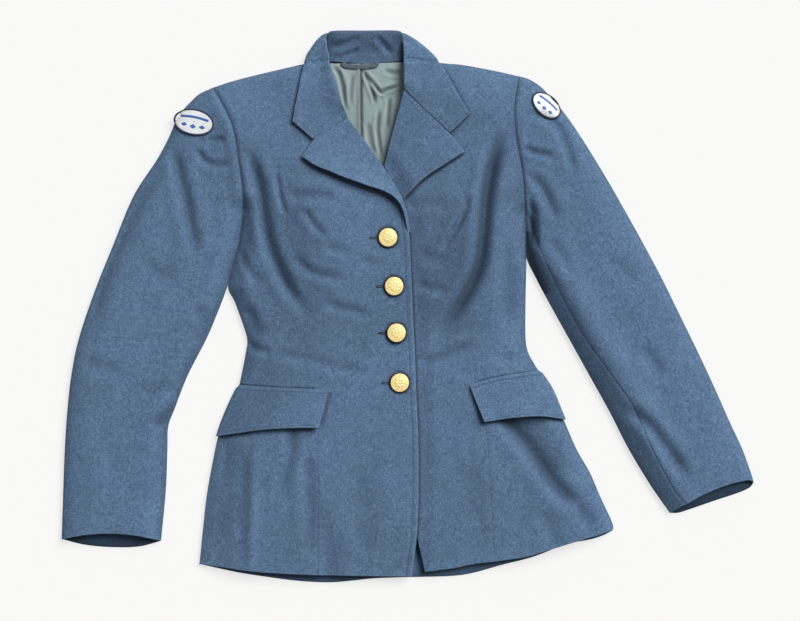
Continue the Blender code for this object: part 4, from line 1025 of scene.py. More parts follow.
def collar_row(row):
    """Points across the collar. Beyond the shoulder it turns round its side and runs back under."""
    roll, side, end = row[0:2], row[3:5], row[6:8]
    radius, fall = max(row[5], 0.0), float(np.clip(row[8], 0, 1))
    inward = (roll - side) / np.linalg.norm(roll - side)
    run = end - side
    back = run / max(np.linalg.norm(run), 1e-6) if np.linalg.norm(run) > 1e-3 else inward
    turn_top = side + radius * inward
    flat = roll + np.linspace(0, 1, 25)[:, None] * (turn_top - roll)
    share = np.linspace(0, 1, 25)
    on_front = form_height(flat)[0] + COLLAR_SEAT + shoulder_bridge(flat)
    on_front = on_front + COLLAR_ROLL_RISE * (1 - soft_step(share, 0, 0.4))
    on_front = on_front + LEAF_RISE * soft_step(share, 0.55, 1.0)
    behind = row[2] + soft_step(share, 0, 1) * (row[9] - row[2])
    pieces = [raised(flat, (1 - fall) * on_front + fall * behind)]
    if radius > 0.05:
        low = pieces[0][-1, 2]
        angles = np.pi / 2 - np.pi * np.linspace(0, 1, 13)[1:]
        shares = np.linspace(0, 1, 13)[1:, None]
        heading = unit((1 - shares) * inward + shares * back)
        plan = side + radius * (1 - np.cos(angles))[:, None] * heading
        pieces.append(raised(plan, low - radius + radius * np.sin(angles)))
        last = plan[-1]
        plan = last + np.linspace(0, 1, 9)[1:, None] * (end - last)
        pieces.append(raised(plan, np.full(8, low - 2 * radius)))
    return spaced(np.concatenate(pieces), COLLAR_COUNT)


def shoulder_bridge(plan):
    """The collar spans the hollow where the front falls to its shoulder seam."""
    return 3.0 * soft_step(plan[..., 1], 288, 304)


def leaf_end(plan_points):
    """The last row of a leaf, along the gorge and the end of the collar to its corner."""
    plan = spaced(np.array([(*p, 0.0) for p in plan_points]), COLLAR_COUNT)[:, :2]
    share = np.linspace(0, 1, len(plan))
    rise = LEAF_RISE * soft_step(share, 0.55, 1.0)
    return raised(plan, form_height(plan)[0] + COLLAR_SEAT + rise)


def make_collar(wool):
    rows = smooth_curve(collar_sections(), 7)
    body = np.array([collar_row(row) for row in rows])
    steps = stations(np.array(16.0), RIM_INSETS, (0.0,), 6)[:-1]
    right, left = leaf_end(RIGHT_LEAF_END), leaf_end(LEFT_LEAF_END)
    first = [right + s * (body[0] - right) for s in steps]
    last = [left + s * (body[-1] - left) for s in steps][::-1]
    points = np.concatenate([first, body, last])
    under = np.concatenate([np.zeros(len(first)), np.clip(rows[:, 8], 0, 1), np.zeros(len(last))])
    floor = 0.02 + 1.2 * np.clip(5 * under, 0, 1)
    floor = floor + (LEAF_WALL - 0.8) * np.clip(5 * under * (1 - under), 0, 1)
    points[..., 2] = np.maximum(points[..., 2], floor[:, None])
    grid = leaf_grid(points, ("top", "bottom", "end"), "start", COLLAR_CURL)
    lay_sheet("collar_fall", [grid], wool, grain=8)


STAND_HEIGHT = 17.4  # at the roll
STAND_ROLL = 4.0


def make_stand(wool):
    """The inside of the collar, from the neck seam up to the roll and over it."""
    top, bottom = Edge(STAND_TOP), Edge(NECK_SEAM)
    across = stations(bottom.length, (0.0, 1.5), (0.0, 1.5), steps_for(bottom.length, 2.0))
    off_middle = np.abs(2 * across - 1)
    rows = []
    for v in stations(36.0, (0.0, 0.3, 0.8, 1.6), (0.0,), 18):
        plan = (1 - v) * bottom.at(across) + v * top.at(across)
        low = lining_base(plan) + 1.2
        middle = low + (0.35 * v + 0.65 * soft_step(v, 0.3, 1.05)) * (STAND_HEIGHT - low)
        sides = -1.6 * off_middle**4 * soft_step(v, 0.3, 0.8)
        folds = crease_height(STAND_CREASES, plan) * (1 - soft_step(v, 0.8, 1.0))
        rows.append(raised(plan, np.maximum(middle + sides + folds, low - 0.6)))
    last = rows[-1]
    for angle in np.linspace(0, math.radians(80), 8)[1:]:
        over, down = STAND_ROLL * math.sin(angle), 1.1 * STAND_ROLL * (1 - math.cos(angle))
        rows.append(last + np.array((0.0, over, -down)))
    for drop in (2.0, 4.5, 7.0):
        rows.append(rows[-1] + np.array((0.0, 0.1, -0.35 * drop)))
    points = np.array(rows)
    marks = plain(points)
    reach = np.linspace(0, 1, len(points))[:, None]
    # Painted shade over the whole stand, darker towards its sides and towards the roll.
    marks[..., 1] = 0.24 + 0.75 * off_middle**5 + 0.3 * reach**3
    grid = rounded(points, marks, ("top", "bottom"), 1.0, 1.0, 1.0, 1.0, True)
    lay_sheet("collar_stand", [grid], wool, grain=90, flip=True)


LINING_HEIGHT = 3.3
LINING_LENGTH = 156.0
LINING_WIDTH = 100.0
LINING_SPACING = 1.7


def lining_base(plan):
    return LINING_HEIGHT + neck_lift(plan)


LINING_RIGHT = ((-104, 303), (-104, 250), (-84, 150))
LINING_LEFT = ((4, 305), (2, 250), (6, 150))


def make_lining(lining):
    """The lining of the back that shows in the neck, with its pleat and loose folds."""
    rows = stations(
        LINING_LENGTH, (0.0, 0.8, 1.8, 3.4), (0.0, 1.0), steps_for(LINING_LENGTH, LINING_SPACING),
    )
    columns = spread((0.0, 1.0), (0.0, 1.0), steps_for(LINING_WIDTH, LINING_SPACING))
    top = Edge((LINING_RIGHT[0], (-52, 302.6), LINING_LEFT[0]))
    bottom = Edge((LINING_RIGHT[-1], LINING_LEFT[-1]))
    plan, _ = coons(Edge(LINING_RIGHT), Edge(LINING_LEFT), top, bottom, rows, columns)
    pleat, share = nearest_on(smooth_curve(LINING_PLEAT), plan)
    beside = plan[..., 0] - np.interp(-plan[..., 1], (-303, -190), (-58, -57))
    held = 1 - soft_step(share, 0.75, 1.0)
    fold = 2.0 * bell(beside + 3.0, 2.4) * held
    step = -2.2 * bell(beside - 0.2, 1.1) * held
    bumps = 0.5 * ripple_height(plan * 2.2, 31.0) + 0.35 * ripple_height(plan * 5.0, 37.0)
    folds = crease_height(LINING_CREASES, plan)
    base = lining_base(plan)
    heights = np.maximum(base + 1.9 + fold + step + folds + bumps, base - 0.4)
    # A painted dark line in the pleat, and painted shade in the troughs of the folds.
    marks = np.stack([1.4 * bell(pleat, 1.8), np.clip(-folds / 2.6, 0, 1)], axis=-1)
    grid = rounded(raised(plan, heights), marks, ("top",), 0.5, 0.5, 1.0, 0.8)
    lay_sheet("back_lining", [grid], lining)


LOOP_WAY = (
    (-80.5, 303.8), (-79.5, 300.6), (-73, 299.0), (-60, 298.3), (-47, 299.0), (-40, 300.8), (-38.5, 304),
)
LOOP_WIDTH = 6.2
LOOP_WALL = 1.7


def make_loop(tape):
    """The hanger loop, a narrow tube of cloth sewn in at the neck seam."""
    way = smooth_curve(LOOP_WAY, 8)
    along = unit(np.gradient(way, axis=0))
    across = np.stack([-along[:, 1], along[:, 0]], axis=1)
    rows = []
    for angle in np.linspace(0, 2 * math.pi, 17):
        side, rise = math.cos(angle), math.sin(angle)
        plan = way + across * (0.5 * LOOP_WIDTH * np.sign(side) * abs(side) ** 0.7)
        rows.append(raised(plan, lining_base(way) + 3.4 + 0.5 * LOOP_WALL * rise))
    points = np.array(rows)
    none = np.zeros(points.shape[:2])
    item = make_cloth("hanger_loop_tape", [Grid(points, none + 0.4, none, plain(points))], tape)
    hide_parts("hanger_loop")


FLAP_SEAT = 2.9
FLAP_LIFT = 7.5
FLAP_LENGTH = 60.0
FLAP_FOLD_INSETS = (0.0, 0.5, 1.2, 2.4, 4.2, 6.0, 6.6, 7.2, 8.4)
TOP_STITCH = 6.6  # from the flap's seam
LOWER_STITCH = 4.0  # from its lower edge


def row_near(rows, length, inset):
    return int(np.argmin(np.abs(rows * length - inset)))


def form_normals(plan, step=0.4):
    """Directions square to the form, from its heights on both sides of each point."""
    slopes = [
        (form_height(plan + aside)[0] - form_height(plan - aside)[0]) / (2 * step)
        for aside in (np.array((step, 0.0)), np.array((0.0, step)))
    ]
    return unit(np.stack([-slopes[0], -slopes[1], np.ones_like(slopes[0])], axis=-1))


def make_flap(side, wool, fold, top, lower, wave_at, tone, grain):
    """A pocket flap. It wraps the side fold and lifts at its lower edge. Its stitched lines come back."""
    flip = side == "left"
    along_fold = Edge(fold).part(0, Edge(fold).share_near(lower[0]))
    rows = stations(along_fold.length, FLAP_FOLD_INSETS, RIM_INSETS, steps_for(FLAP_LENGTH))
    columns = spread(FOLD_INSETS, RIM_INSETS, steps_for(Edge(top).length))
    edges = (along_fold, Edge((top[-1], lower[-1])), Edge(top), Edge(lower))
    plan, u = coons(*edges, rows, columns)
    plan, across = plan[:, 1:], u[:, 1:]
    normals = form_normals(plan)
    normals[:, 0] = (1.0, 0.0, 0.0) if flip else (-1.0, 0.0, 0.0)
    share = rows[:, None]
    wave = 0.5 + 0.5 * bell(across - wave_at, 0.24) + 0.3 * soft_step(across, 0.8, 1.0)
    lift = FLAP_LIFT * share**1.8 * wave + 1.2 * soft_step(across, 0.86, 1.0) * share**0.5
    lift = lift + 0.3 * ripple_height(plan, 41.0)
    seat = FLAP_SEAT * (0.22 + 0.78 * soft_step(share * FLAP_LENGTH, 0.4, 5.0))
    points = raised(plan, form_height(plan)[0]) + normals * seat[..., None]
    stitched = points[row_near(rows, along_fold.length, TOP_STITCH), :, :2]
    depth, seam = groove_height([Groove(0.8, 0.9, stitched)], plan)
    points[..., 2] += lift + depth
    points[:, 0, 2] = FOLD_RISE + 0.4
    # Painted shade on the outer part of the flap, as strong as tone.
    marks = np.stack([0.8 * seam, tone * (1 - soft_step(across, 0.35, 0.8)) + 0 * seam], axis=-1)
    grid = rounded(points, marks, ("bottom", "end"), FLAP_WALL, FLAP_WALL, 1.0, 1.2, flip)
    lay_sheet(f"{side}_pocket_flap", [grid], wool, grain=grain, flip=flip)
    stitch_rows = (TOP_STITCH, FLAP_LENGTH - LOWER_STITCH)
    return [points[row_near(rows, FLAP_LENGTH, inset), 1:-3] for inset in stitch_rows]


# Threads

STITCH_LIFT = 0.12
STITCH_LENGTH = 2.7
STITCH_GAP = 0.9
STITCH_RADIUS = 0.26


def stitches(name, line, thread):
    """A row of machine stitches along a line in space, each one arched and sunk at its ends."""
    pitch = STITCH_LENGTH + STITCH_GAP
    count = int(lengths(line)[-1] / pitch)
    sides, stops = 6, np.linspace(-0.5, 0.5, 5)
    places = (np.arange(count) + 0.5)[:, None] * pitch + stops * STITCH_LENGTH
    centre = read_line(line, places)
    ahead = unit(read_line(line, places + 0.6) - centre)
    beside = np.stack([-ahead[..., 1], ahead[..., 0], 0 * ahead[..., 0]], axis=-1)
    above = np.array((0.0, 0.0, 1.0))
    arch = STITCH_LIFT + 0.3 * (1 - (2 * stops) ** 2) - 0.22
    size = (STITCH_RADIUS * (1 - 0.45 * (2 * np.abs(stops)) ** 2))[:, None, None]
    spin = turns(sides)[:, None]
    rounds = size * (np.cos(spin) * beside[..., None, :] + np.sin(spin) * above)
    verts = (centre + arch[:, None] * above)[..., None, :] + rounds
    faces = []
    for base in range(0, count * len(stops) * sides, len(stops) * sides):
        end = base + (len(stops) - 1) * sides
        faces += tube_faces(len(stops), sides, base)
        faces += [tuple(range(base, base + sides))[::-1], tuple(range(end, end + sides))]
    add_mesh(name, verts.reshape(-1, 3), faces, thread)


def tube_faces(rings, sides, start=0, closed=False):
    """Faces of a tube of rings. A closed one runs on from its last ring to its first."""
    faces = []
    for k in range(rings if closed else rings - 1):
        near, far = start + k * sides, start + (k + 1) % rings * sides
        for m in range(sides):
            n = (m + 1) % sides
            faces.append((near + m, near + n, far + n, far + m))
    return faces


def wound_thread(way, out, size, level, sides, squash=1.0):
    """Points of a closed tube of thread. Its way and the directions out from it are in plan."""
    spin = turns(sides)
    flat = way[:, None] + out[:, None] * (size[:, None] * np.cos(spin))[..., None]
    return raised(flat, level[:, None] + squash * size[:, None] * np.sin(spin)).reshape(-1, 3)


def add_mesh(name, verts, faces, material):
    mesh = bpy.data.meshes.new(name)
    mesh.from_pydata((np.asarray(verts) * MM).tolist(), [], [tuple(int(i) for i in f) for f in faces])
    mesh.validate()
    item = link(name, mesh)
    mesh.shade_smooth()
    mesh.materials.append(material)
    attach(item, "root")
    return item


def along_cloth(line, height):
    """A line in plan laid on the cloth."""
    line = np.asarray(line, float)
    return raised(line, height(line)[0])


HOLE_LENGTH = 27.0
HOLE_LEFT = 23.5  # how far a buttonhole reaches beyond its button's middle


def make_buttonholes(thread, height):
    """Buttonholes bound with dark thread. Their ends show beside the buttons."""
    around, ring = 96, 7
    side, rise = np.cos(turns(around)), np.sin(turns(around))
    out = unit(np.stack([0.25 * side, rise], axis=-1))
    size = 0.62 * (1 + 0.16 * np.sin(2 * math.pi * np.arange(around) / 2.4))
    verts, faces = [], []
    for x, y in BUTTONS:
        middle = x - HOLE_LEFT + HOLE_LENGTH / 2
        wide = middle + (HOLE_LENGTH / 2 - 1.2) * side
        tall = y - 0.5 + 1.15 * np.sign(rise) * np.abs(rise) ** 0.45
        plan = np.stack([wide, tall], axis=-1)
        verts.append(wound_thread(plan, out, size, height(plan)[0] + 0.15, ring, 0.8))
        faces += tube_faces(around, ring, len(faces), closed=True)
    add_mesh("buttonhole_thread", np.concatenate(verts), faces, thread)


# Buttons: height over the radius, with a rosette of eight rays inside a beaded ring

BUTTON_RADIUS = 12.4
BUTTON_DOME = 1.3
BUTTON_FACE = 11.2  # the bright face inside the turned edge, which is painted dark as shade
SHANK = 2.6
SHANK_REACH = 11.0  # from the middle out to where the turned edge runs back in
RAYS = 8
BEADS = 36


def button_face(radius, angle):
    share = radius / BUTTON_RADIUS
    dome = BUTTON_DOME * (1 - share**2)
    ray = np.cos(RAYS * angle / 2) ** 2
    petal = 0.34 * bell(share - 0.36, 0.15) * ray**1.5
    eye = 0.3 * bell(share, 0.1) - 0.2 * bell(share - 0.15, 0.035)
    ring = 0.24 * bell(share - 0.66, 0.028)
    beads = 0.26 * bell(share - 0.79, 0.045) * (0.35 + 0.65 * np.cos(BEADS * angle / 2) ** 2)
    rim = 0.3 * bell(share - 0.875, 0.03)
    turned = -0.9 * soft_step(radius, BUTTON_FACE - 0.2, BUTTON_RADIUS)
    return dome + petal + eye + ring + beads + rim + turned


def make_buttons(gilt, height):
    rings = np.concatenate([np.linspace(0.02, 0.98, 44), [1.0]]) * BUTTON_RADIUS
    sides = 96
    angles = turns(sides)
    for number, place in enumerate(BUTTONS, start=1):
        low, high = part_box(f"button_{number}")
        around = np.array(place) + SHANK_REACH * np.stack([np.cos(angles), np.sin(angles)], axis=-1)
        crown = min(high[2] / MM - BUTTON_DOME - 0.5, float(height(around)[0].max()) + 2.2)
        foot = (
            (BUTTON_RADIUS + 0.15, crown - 0.5), (BUTTON_RADIUS - 0.1, crown - 1.0),
            (SHANK_REACH, crown - 1.25), (3.2, crown - 1.5), (SHANK, crown - 2.2),
            (SHANK, min(low[2] / MM, crown - 2.8)),
        )
        level = crown + button_face(rings[:, None], angles + 0.4 * number)
        level = np.concatenate([level, [[z] * sides for r, z in foot]])
        radii = np.concatenate([rings, [r for r, z in foot]])[:, None]
        flat = np.stack([place[0] + radii * np.cos(angles), place[1] + radii * np.sin(angles)], axis=-1)
        middle = [(*place, crown + float(button_face(0.0, 0.0)))]
        verts = np.concatenate([middle, raised(flat, level).reshape(-1, 3)])
        faces = [(0, 1 + k, 1 + (k + 1) % sides) for k in range(sides)]
        faces += [face[::-1] for face in tube_faces(len(radii), sides, 1)]
        faces.append(tuple(range(len(verts) - sides, len(verts)))[::-1])
        item = add_mesh(f"button_{number}_gilt", verts, faces, gilt)
        # Painted shade on the turned edge, marked as the rim.
        away = np.hypot(verts[:, 0] - place[0], verts[:, 1] - place[1])
        dark = soft_step(away, BUTTON_FACE - 0.1, BUTTON_FACE + 0.35)
        item.data.attributes.new("rim", "FLOAT", "POINT").data.foreach_set("value", dark)
        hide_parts(f"button_{number}")


# Badges: an oval of white embroidery with a dark bound edge, a blue band and three blue lozenges

BADGE_SEAT = 1.2
BINDING = 1.25  # radius of the bound edge
BINDING_TURNS = 144


def badge_place(badge, across, up):
    turn = math.radians(badge.turn)
    x = badge.x + across * math.cos(turn) - up * math.sin(turn)
    y = badge.y + across * math.sin(turn) + up * math.cos(turn)
    return np.stack([x, y], axis=-1)


def oval_points(badge, rings, sides):
    ring, angle = np.meshgrid(rings, np.arange(sides + 1) * 2 * math.pi / sides, indexing="ij")
    across, up = ring * np.cos(angle), ring * np.sin(angle)
    return badge_place(badge, badge.half_width * across, badge.half_height * up)


def make_badge(side, badge, height, ground, border, blue):
    rings = np.concatenate([np.linspace(0.02, 0.9, 14), [0.95, 0.985, 1.0]])
    plan = oval_points(badge, rings, 72)
    base = height(plan)[0] + BADGE_SEAT
    swell = 0.7 * round_off(1 - np.broadcast_to(rings[:, None], base.shape), 0.12)
    none = np.zeros(base.shape)
    grids = [Grid(raised(plan, base + swell), none + 0.9, none, plain(base))]
    cloth = make_cloth(f"{side}_sleeve_badge_ground", grids, ground, grain=badge.turn)
    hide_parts(f"{side}_sleeve_badge")

    angle = turns(BINDING_TURNS)
    way = badge_place(badge, badge.half_width * np.cos(angle), badge.half_height * np.sin(angle))
    size = BINDING + 0.06 * (-1.0) ** np.arange(BINDING_TURNS)
    level = height(way)[0] + BADGE_SEAT + 0.35
    verts = wound_thread(way, unit(way - (badge.x, badge.y)), size, level, 10)
    faces = tube_faces(BINDING_TURNS, 10, closed=True)
    add_mesh(f"{side}_sleeve_badge_border", verts, faces, border)

    u, v = np.meshgrid(np.linspace(0, 1, 25), np.linspace(0, 1, 9))
    band = np.stack([-0.72 + 1.44 * u, 0.20 + 0.20 * v + 0.10 * np.cos(3.0 * (u - 0.5))], axis=-1)
    narrow = (u - 0.5) * (1 - np.abs(2 * v - 1))
    lozenges = [
        np.stack([middle + 0.32 * narrow, low + tall * (v - 0.5)], axis=-1)
        for middle, low, tall in ((-0.46, -0.30, 0.34), (0.0, -0.36, 0.40), (0.46, -0.30, 0.34))
    ]
    verts, faces = [], []
    for shape in (band, *lozenges):
        plan = badge_place(badge, shape[..., 0] * badge.half_width, shape[..., 1] * badge.half_height)
        proud = 0.45 * np.sin(math.pi * np.clip(v, 0.02, 0.98)) ** 0.5
        base = len(verts) * u.size
        verts.append(raised(plan, height(plan)[0] + BADGE_SEAT + 0.6 + proud).reshape(-1, 3))
        for i in range(8):
            for j in range(24):
                a = base + i * 25 + j
                faces.append((a, a + 1, a + 26, a + 25))
    mark = add_mesh(f"{side}_sleeve_badge_marks", np.concatenate(verts), faces, blue)
    shell = mark.modifiers.new("thickness", "SOLIDIFY")
    shell.thickness = 0.5 * MM
    shell.offset = -1


# Materials

def add_group(name, inputs, outputs):
    """A shader node group with named sockets. Its input and output nodes come back with it."""
    tree = bpy.data.node_groups.new(name, "ShaderNodeTree")
    for label, kind, value in inputs:
        socket = tree.interface.new_socket(name=label, in_out="INPUT", socket_type=kind)
        if value is not None:
            socket.default_value = value
    for label, kind in outputs:
        tree.interface.new_socket(name=label, in_out="OUTPUT", socket_type=kind)
    return tree, tree.nodes.new("NodeGroupInput"), tree.nodes.new("NodeGroupOutput")


def wire(tree, source, target):
    tree.links.new(source, target)


def add_math(tree, operation, first, second=None, clamp=False):
    node = tree.nodes.new("ShaderNodeMath")
    node.operation = operation
    node.use_clamp = clamp
    for index, value in enumerate((first, second)):
        if value is None:
            continue
        if isinstance(value, (int, float)):
            node.inputs[index].default_value = value
        else:
            wire(tree, value, node.inputs[index])
    return node.outputs[0]


def plus(tree, first, second):
    return add_math(tree, "ADD", first, second)


def times(tree, first, second):
    return add_math(tree, "MULTIPLY", first, second)


def add_noise(tree, vector, stretch, detail=2.0, roughness=0.6):
    """Soft noise along a vector. One number or three say how fine it is."""
    scaled = tree.nodes.new("ShaderNodeVectorMath")
    scaled.operation = "MULTIPLY"
    wire(tree, vector, scaled.inputs[0])
    scaled.inputs[1].default_value = stretch if isinstance(stretch, tuple) else (stretch,) * 3
    node = tree.nodes.new("ShaderNodeTexNoise")
    node.inputs["Scale"].default_value = 1.0
    node.inputs["Detail"].default_value = detail
    node.inputs["Roughness"].default_value = roughness
    wire(tree, scaled.outputs[0], node.inputs["Vector"])
    return node.outputs["Fac"]


def add_mix(tree, factor, first, second, blend="MIX"):
    node = tree.nodes.new("ShaderNodeMix")
    node.data_type = "RGBA"
    node.blend_type = blend
    for socket, value in ((node.inputs[0], factor), (node.inputs[6], first), (node.inputs[7], second)):
        if isinstance(value, (int, float)):
            socket.default_value = value
        elif isinstance(value, tuple):
            socket.default_value = (*value, 1.0)
        else:
            wire(tree, value, socket)
    return node.outputs[2]


def add_range(tree, value, low, high, to_low=0.0, to_high=1.0):
    node = tree.nodes.new("ShaderNodeMapRange")
    node.inputs["From Min"].default_value = low
    node.inputs["From Max"].default_value = high
    node.inputs["To Min"].default_value = to_low
    node.inputs["To Max"].default_value = to_high
    wire(tree, value, node.inputs["Value"])
    return node.outputs["Result"]


def attribute(tree, name, output="Fac"):
    node = tree.nodes.new("ShaderNodeAttribute")
    node.attribute_name = name
    return node.outputs[output]


def cloth_grain(tree):
    return attribute(tree, "grain", "Vector")


def place_in_space(tree):
    return tree.nodes.new("ShaderNodeTexCoord").outputs["Object"]


def parts_of(tree, vector):
    node = tree.nodes.new("ShaderNodeSeparateXYZ")
    wire(tree, vector, node.inputs[0])
    return node.outputs


TWILL = 2 * math.pi / 0.0011  # the twill's wale is 1.1 mm wide
WARP_STREAK = (820.0, 210.0, 300.0)
WEFT_STREAK = (210.0, 820.0, 300.0)
FLECK = 1050.0


def heathered_weave():
    """Streaks of light and dark fibre along warp and weft, and the relief of the twill."""
    tree, given, out = add_group(
        "heathered weave",
        [
            ("Cloth", "NodeSocketColor", (0.09, 0.15, 0.25, 1)),
            ("Dark yarn", "NodeSocketColor", (0.05, 0.09, 0.16, 1)),
            ("Light yarn", "NodeSocketColor", (0.16, 0.25, 0.38, 1)),
            ("Coarseness", "NodeSocketFloat", 1.0),
        ],
        [("Colour", "NodeSocketColor"), ("Relief", "NodeSocketFloat")],
    )
    grain = cloth_grain(tree)
    coarse = tree.nodes.new("ShaderNodeVectorMath")
    coarse.operation = "SCALE"
    wire(tree, grain, coarse.inputs[0])
    wire(tree, given.outputs["Coarseness"], coarse.inputs["Scale"])
    place = coarse.outputs[0]
    warp = add_noise(tree, place, WARP_STREAK)
    weft = add_noise(tree, place, WEFT_STREAK)
    fleck = add_noise(tree, place, FLECK, 1.0)
    streak = plus(tree, times(tree, warp, 0.5), times(tree, weft, 0.5))
    mixed = plus(tree, times(tree, streak, 0.62), times(tree, fleck, 0.38))
    dark = times(tree, add_range(tree, mixed, 0.50, 0.38), 0.9)
    light = times(tree, add_range(tree, mixed, 0.50, 0.64), 0.9)
    colour = add_mix(tree, dark, given.outputs["Cloth"], given.outputs["Dark yarn"])
    colour = add_mix(tree, light, colour, given.outputs["Light yarn"])
    wire(tree, colour, out.inputs["Colour"])
    parts = parts_of(tree, place)
    wale = add_math(tree, "SINE", times(tree, plus(tree, parts["X"], parts["Y"]), TWILL))
    relief = plus(tree, times(tree, wale, 0.3), times(tree, mixed, 1.4))
    wire(tree, relief, out.inputs["Relief"])
    return tree


def wear_and_painted_shade():
    """Slow changes of tone from pressing and wear, with pale rubbed edges that are partly a painted
    highlight, darker seams, and painted shade at the cut edges and wherever the hollow marks lie.
    """
    tree, given, out = add_group(
        "wear and painted shade",
        [
            ("Colour", "NodeSocketColor", (0.5, 0.5, 0.5, 1)),
            ("Worn colour", "NodeSocketColor", (0.2, 0.3, 0.4, 1)),
            ("Edge wear", "NodeSocketFloat", 0.25),
            ("Seam shade", "NodeSocketFloat", 0.5),
            ("Hollow shade", "NodeSocketFloat", 0.62),
            ("Unevenness", "NodeSocketFloat", 0.2),
        ],
        [("Colour", "NodeSocketColor"), ("Roughness", "NodeSocketFloat")],
    )
    grain = cloth_grain(tree)
    slow = add_noise(tree, grain, (11.0, 8.0, 8.0), 3.0)
    patchy = add_noise(tree, grain, (55.0, 40.0, 40.0), 3.0)
    tone = add_range(tree, plus(tree, slow, patchy), 0.7, 1.3, -1.0, 1.0)
    shade = plus(tree, times(tree, tone, given.outputs["Unevenness"]), 1.0)
    grey = tree.nodes.new("ShaderNodeCombineColor")
    for index in range(3):
        wire(tree, shade, grey.inputs[index])
    colour = add_mix(tree, 1.0, given.outputs["Colour"], grey.outputs[0], "MULTIPLY")
    rim, seam, hollow = (attribute(tree, label) for label in ("rim", "seam", "hollow"))
    # A pale band just in from each cut edge: rubbed wear, and partly a painted highlight where the edge
    # catches the light.
    line = add_math(tree, "SUBTRACT", add_range(tree, rim, 0.15, 0.6), add_range(tree, rim, 0.72, 0.9))
    rubbed = add_math(tree, "MULTIPLY", line, add_range(tree, patchy, 0.25, 0.65, 0.5, 1.0), True)
    rubbed = times(tree, rubbed, given.outputs["Edge wear"])
    colour = add_mix(tree, rubbed, colour, given.outputs["Worn colour"])
    # Darker seams, and painted shade right at the cut edges, where the cloth turns away from the light.
    turned = add_math(tree, "MAXIMUM", seam, add_range(tree, rim, 0.8, 1.0))
    turned = times(tree, turned, given.outputs["Seam shade"])
    # Painted shade from the hollow marks: creases, folds, the undersides of edges and other places in
    # shade.
    shaded = add_math(tree, "MAXIMUM", turned, times(tree, hollow, given.outputs["Hollow shade"]))
    colour = add_mix(tree, shaded, colour, (0.012, 0.02, 0.035))
    wire(tree, colour, out.inputs["Colour"])
    wire(tree, add_range(tree, patchy, 0.3, 0.7, 0.96, 0.86), out.inputs["Roughness"])
    return tree


def add_bump(tree, height, strength, distance, normal=None):
    node = tree.nodes.new("ShaderNodeBump")
    node.inputs["Strength"].default_value = strength
    node.inputs["Distance"].default_value = distance
    wire(tree, height, node.inputs["Height"])
    if normal is not None:
        wire(tree, normal, node.inputs["Normal"])
    return node.outputs["Normal"]


def new_material(name, roughness=0.8, specular=0.3, sheen=0.0, sheen_tint=(1, 1, 1), metallic=0.0):
    material = bpy.data.materials.new(name)
    material.use_nodes = True
    tree = material.node_tree
    shader = tree.nodes["Principled BSDF"]
    shader.inputs["Roughness"].default_value = roughness
    shader.inputs["Specular IOR Level"].default_value = specular
    shader.inputs["Sheen Weight"].default_value = sheen
    shader.inputs["Sheen Roughness"].default_value = 0.45
    shader.inputs["Sheen Tint"].default_value = (*sheen_tint, 1)
    shader.inputs["Metallic"].default_value = metallic
    return material, tree, shader


def place_group(tree, group, **values):
    node = tree.nodes.new("ShaderNodeGroup")
    node.node_tree = group
    for label, value in values.items():
        socket = node.inputs[label.replace("_", " ")]
        socket.default_value = (*value, 1) if isinstance(value, tuple) else value
    return node


# worn is the pale colour of rubbed edges, which is partly a painted highlight.
Yarns = namedtuple("Yarns", "cloth dark light worn")


def woven_material(name, groups, yarns, coarse=1.0, relief=0.35, seam=0.5, uneven=0.09, **surface):
    material, tree, shader = new_material(name, **surface)
    weave, wear = groups
    woven = place_group(
        tree, weave, Cloth=yarns.cloth, Dark_yarn=yarns.dark, Light_yarn=yarns.light, Coarseness=coarse,
    )
    # The pale band at the edges is rubbed wear and partly a painted highlight.
    used = place_group(
        tree, wear, Worn_colour=yarns.worn, Edge_wear=0.36, Seam_shade=seam, Unevenness=uneven,
    )
    wire(tree, woven.outputs["Colour"], used.inputs["Colour"])
    wire(tree, used.outputs["Colour"], shader.inputs["Base Color"])
    wire(tree, used.outputs["Roughness"], shader.inputs["Roughness"])
    wire(tree, add_bump(tree, woven.outputs["Relief"], relief, 0.0004), shader.inputs["Normal"])
    return material


STITCH_WIDTH = 0.0006  # from one thread of the satin stitch to the next, in metres


def embroidery_material(name, colour, angle, shade):
    """Satin stitch: close threads side by side, each one catching the light as a painted highlight along
    it, with painted shade between the threads.
    """
    material, tree, shader = new_material(name, roughness=0.55, specular=0.35, sheen=0.2)
    place = place_in_space(tree)
    parts = parts_of(tree, place)
    across = plus(tree, times(tree, parts["X"], math.cos(angle)), times(tree, parts["Y"], math.sin(angle)))
    thread = add_math(tree, "SINE", times(tree, across, 2 * math.pi / STITCH_WIDTH))
    thread = add_range(tree, thread, -1.0, 1.0)
    tone = add_range(tree, plus(tree, thread, add_noise(tree, place, 260.0)), 0.2, 1.4)
    wire(tree, add_mix(tree, tone, shade, colour), shader.inputs["Base Color"])
    wire(tree, add_bump(tree, thread, 0.5, 0.0003), shader.inputs["Normal"])
    return material


def thread_material(name, colour, shade):
    material, tree, shader = new_material(name, roughness=0.7, specular=0.25, sheen=0.15)
    strand = add_noise(tree, place_in_space(tree), 1800.0)
    tone = add_range(tree, strand, 0.35, 0.65)
    wire(tree, add_mix(tree, tone, shade, colour), shader.inputs["Base Color"])
    wire(tree, add_bump(tree, strand, 0.4, 0.0002), shader.inputs["Normal"])
    return material


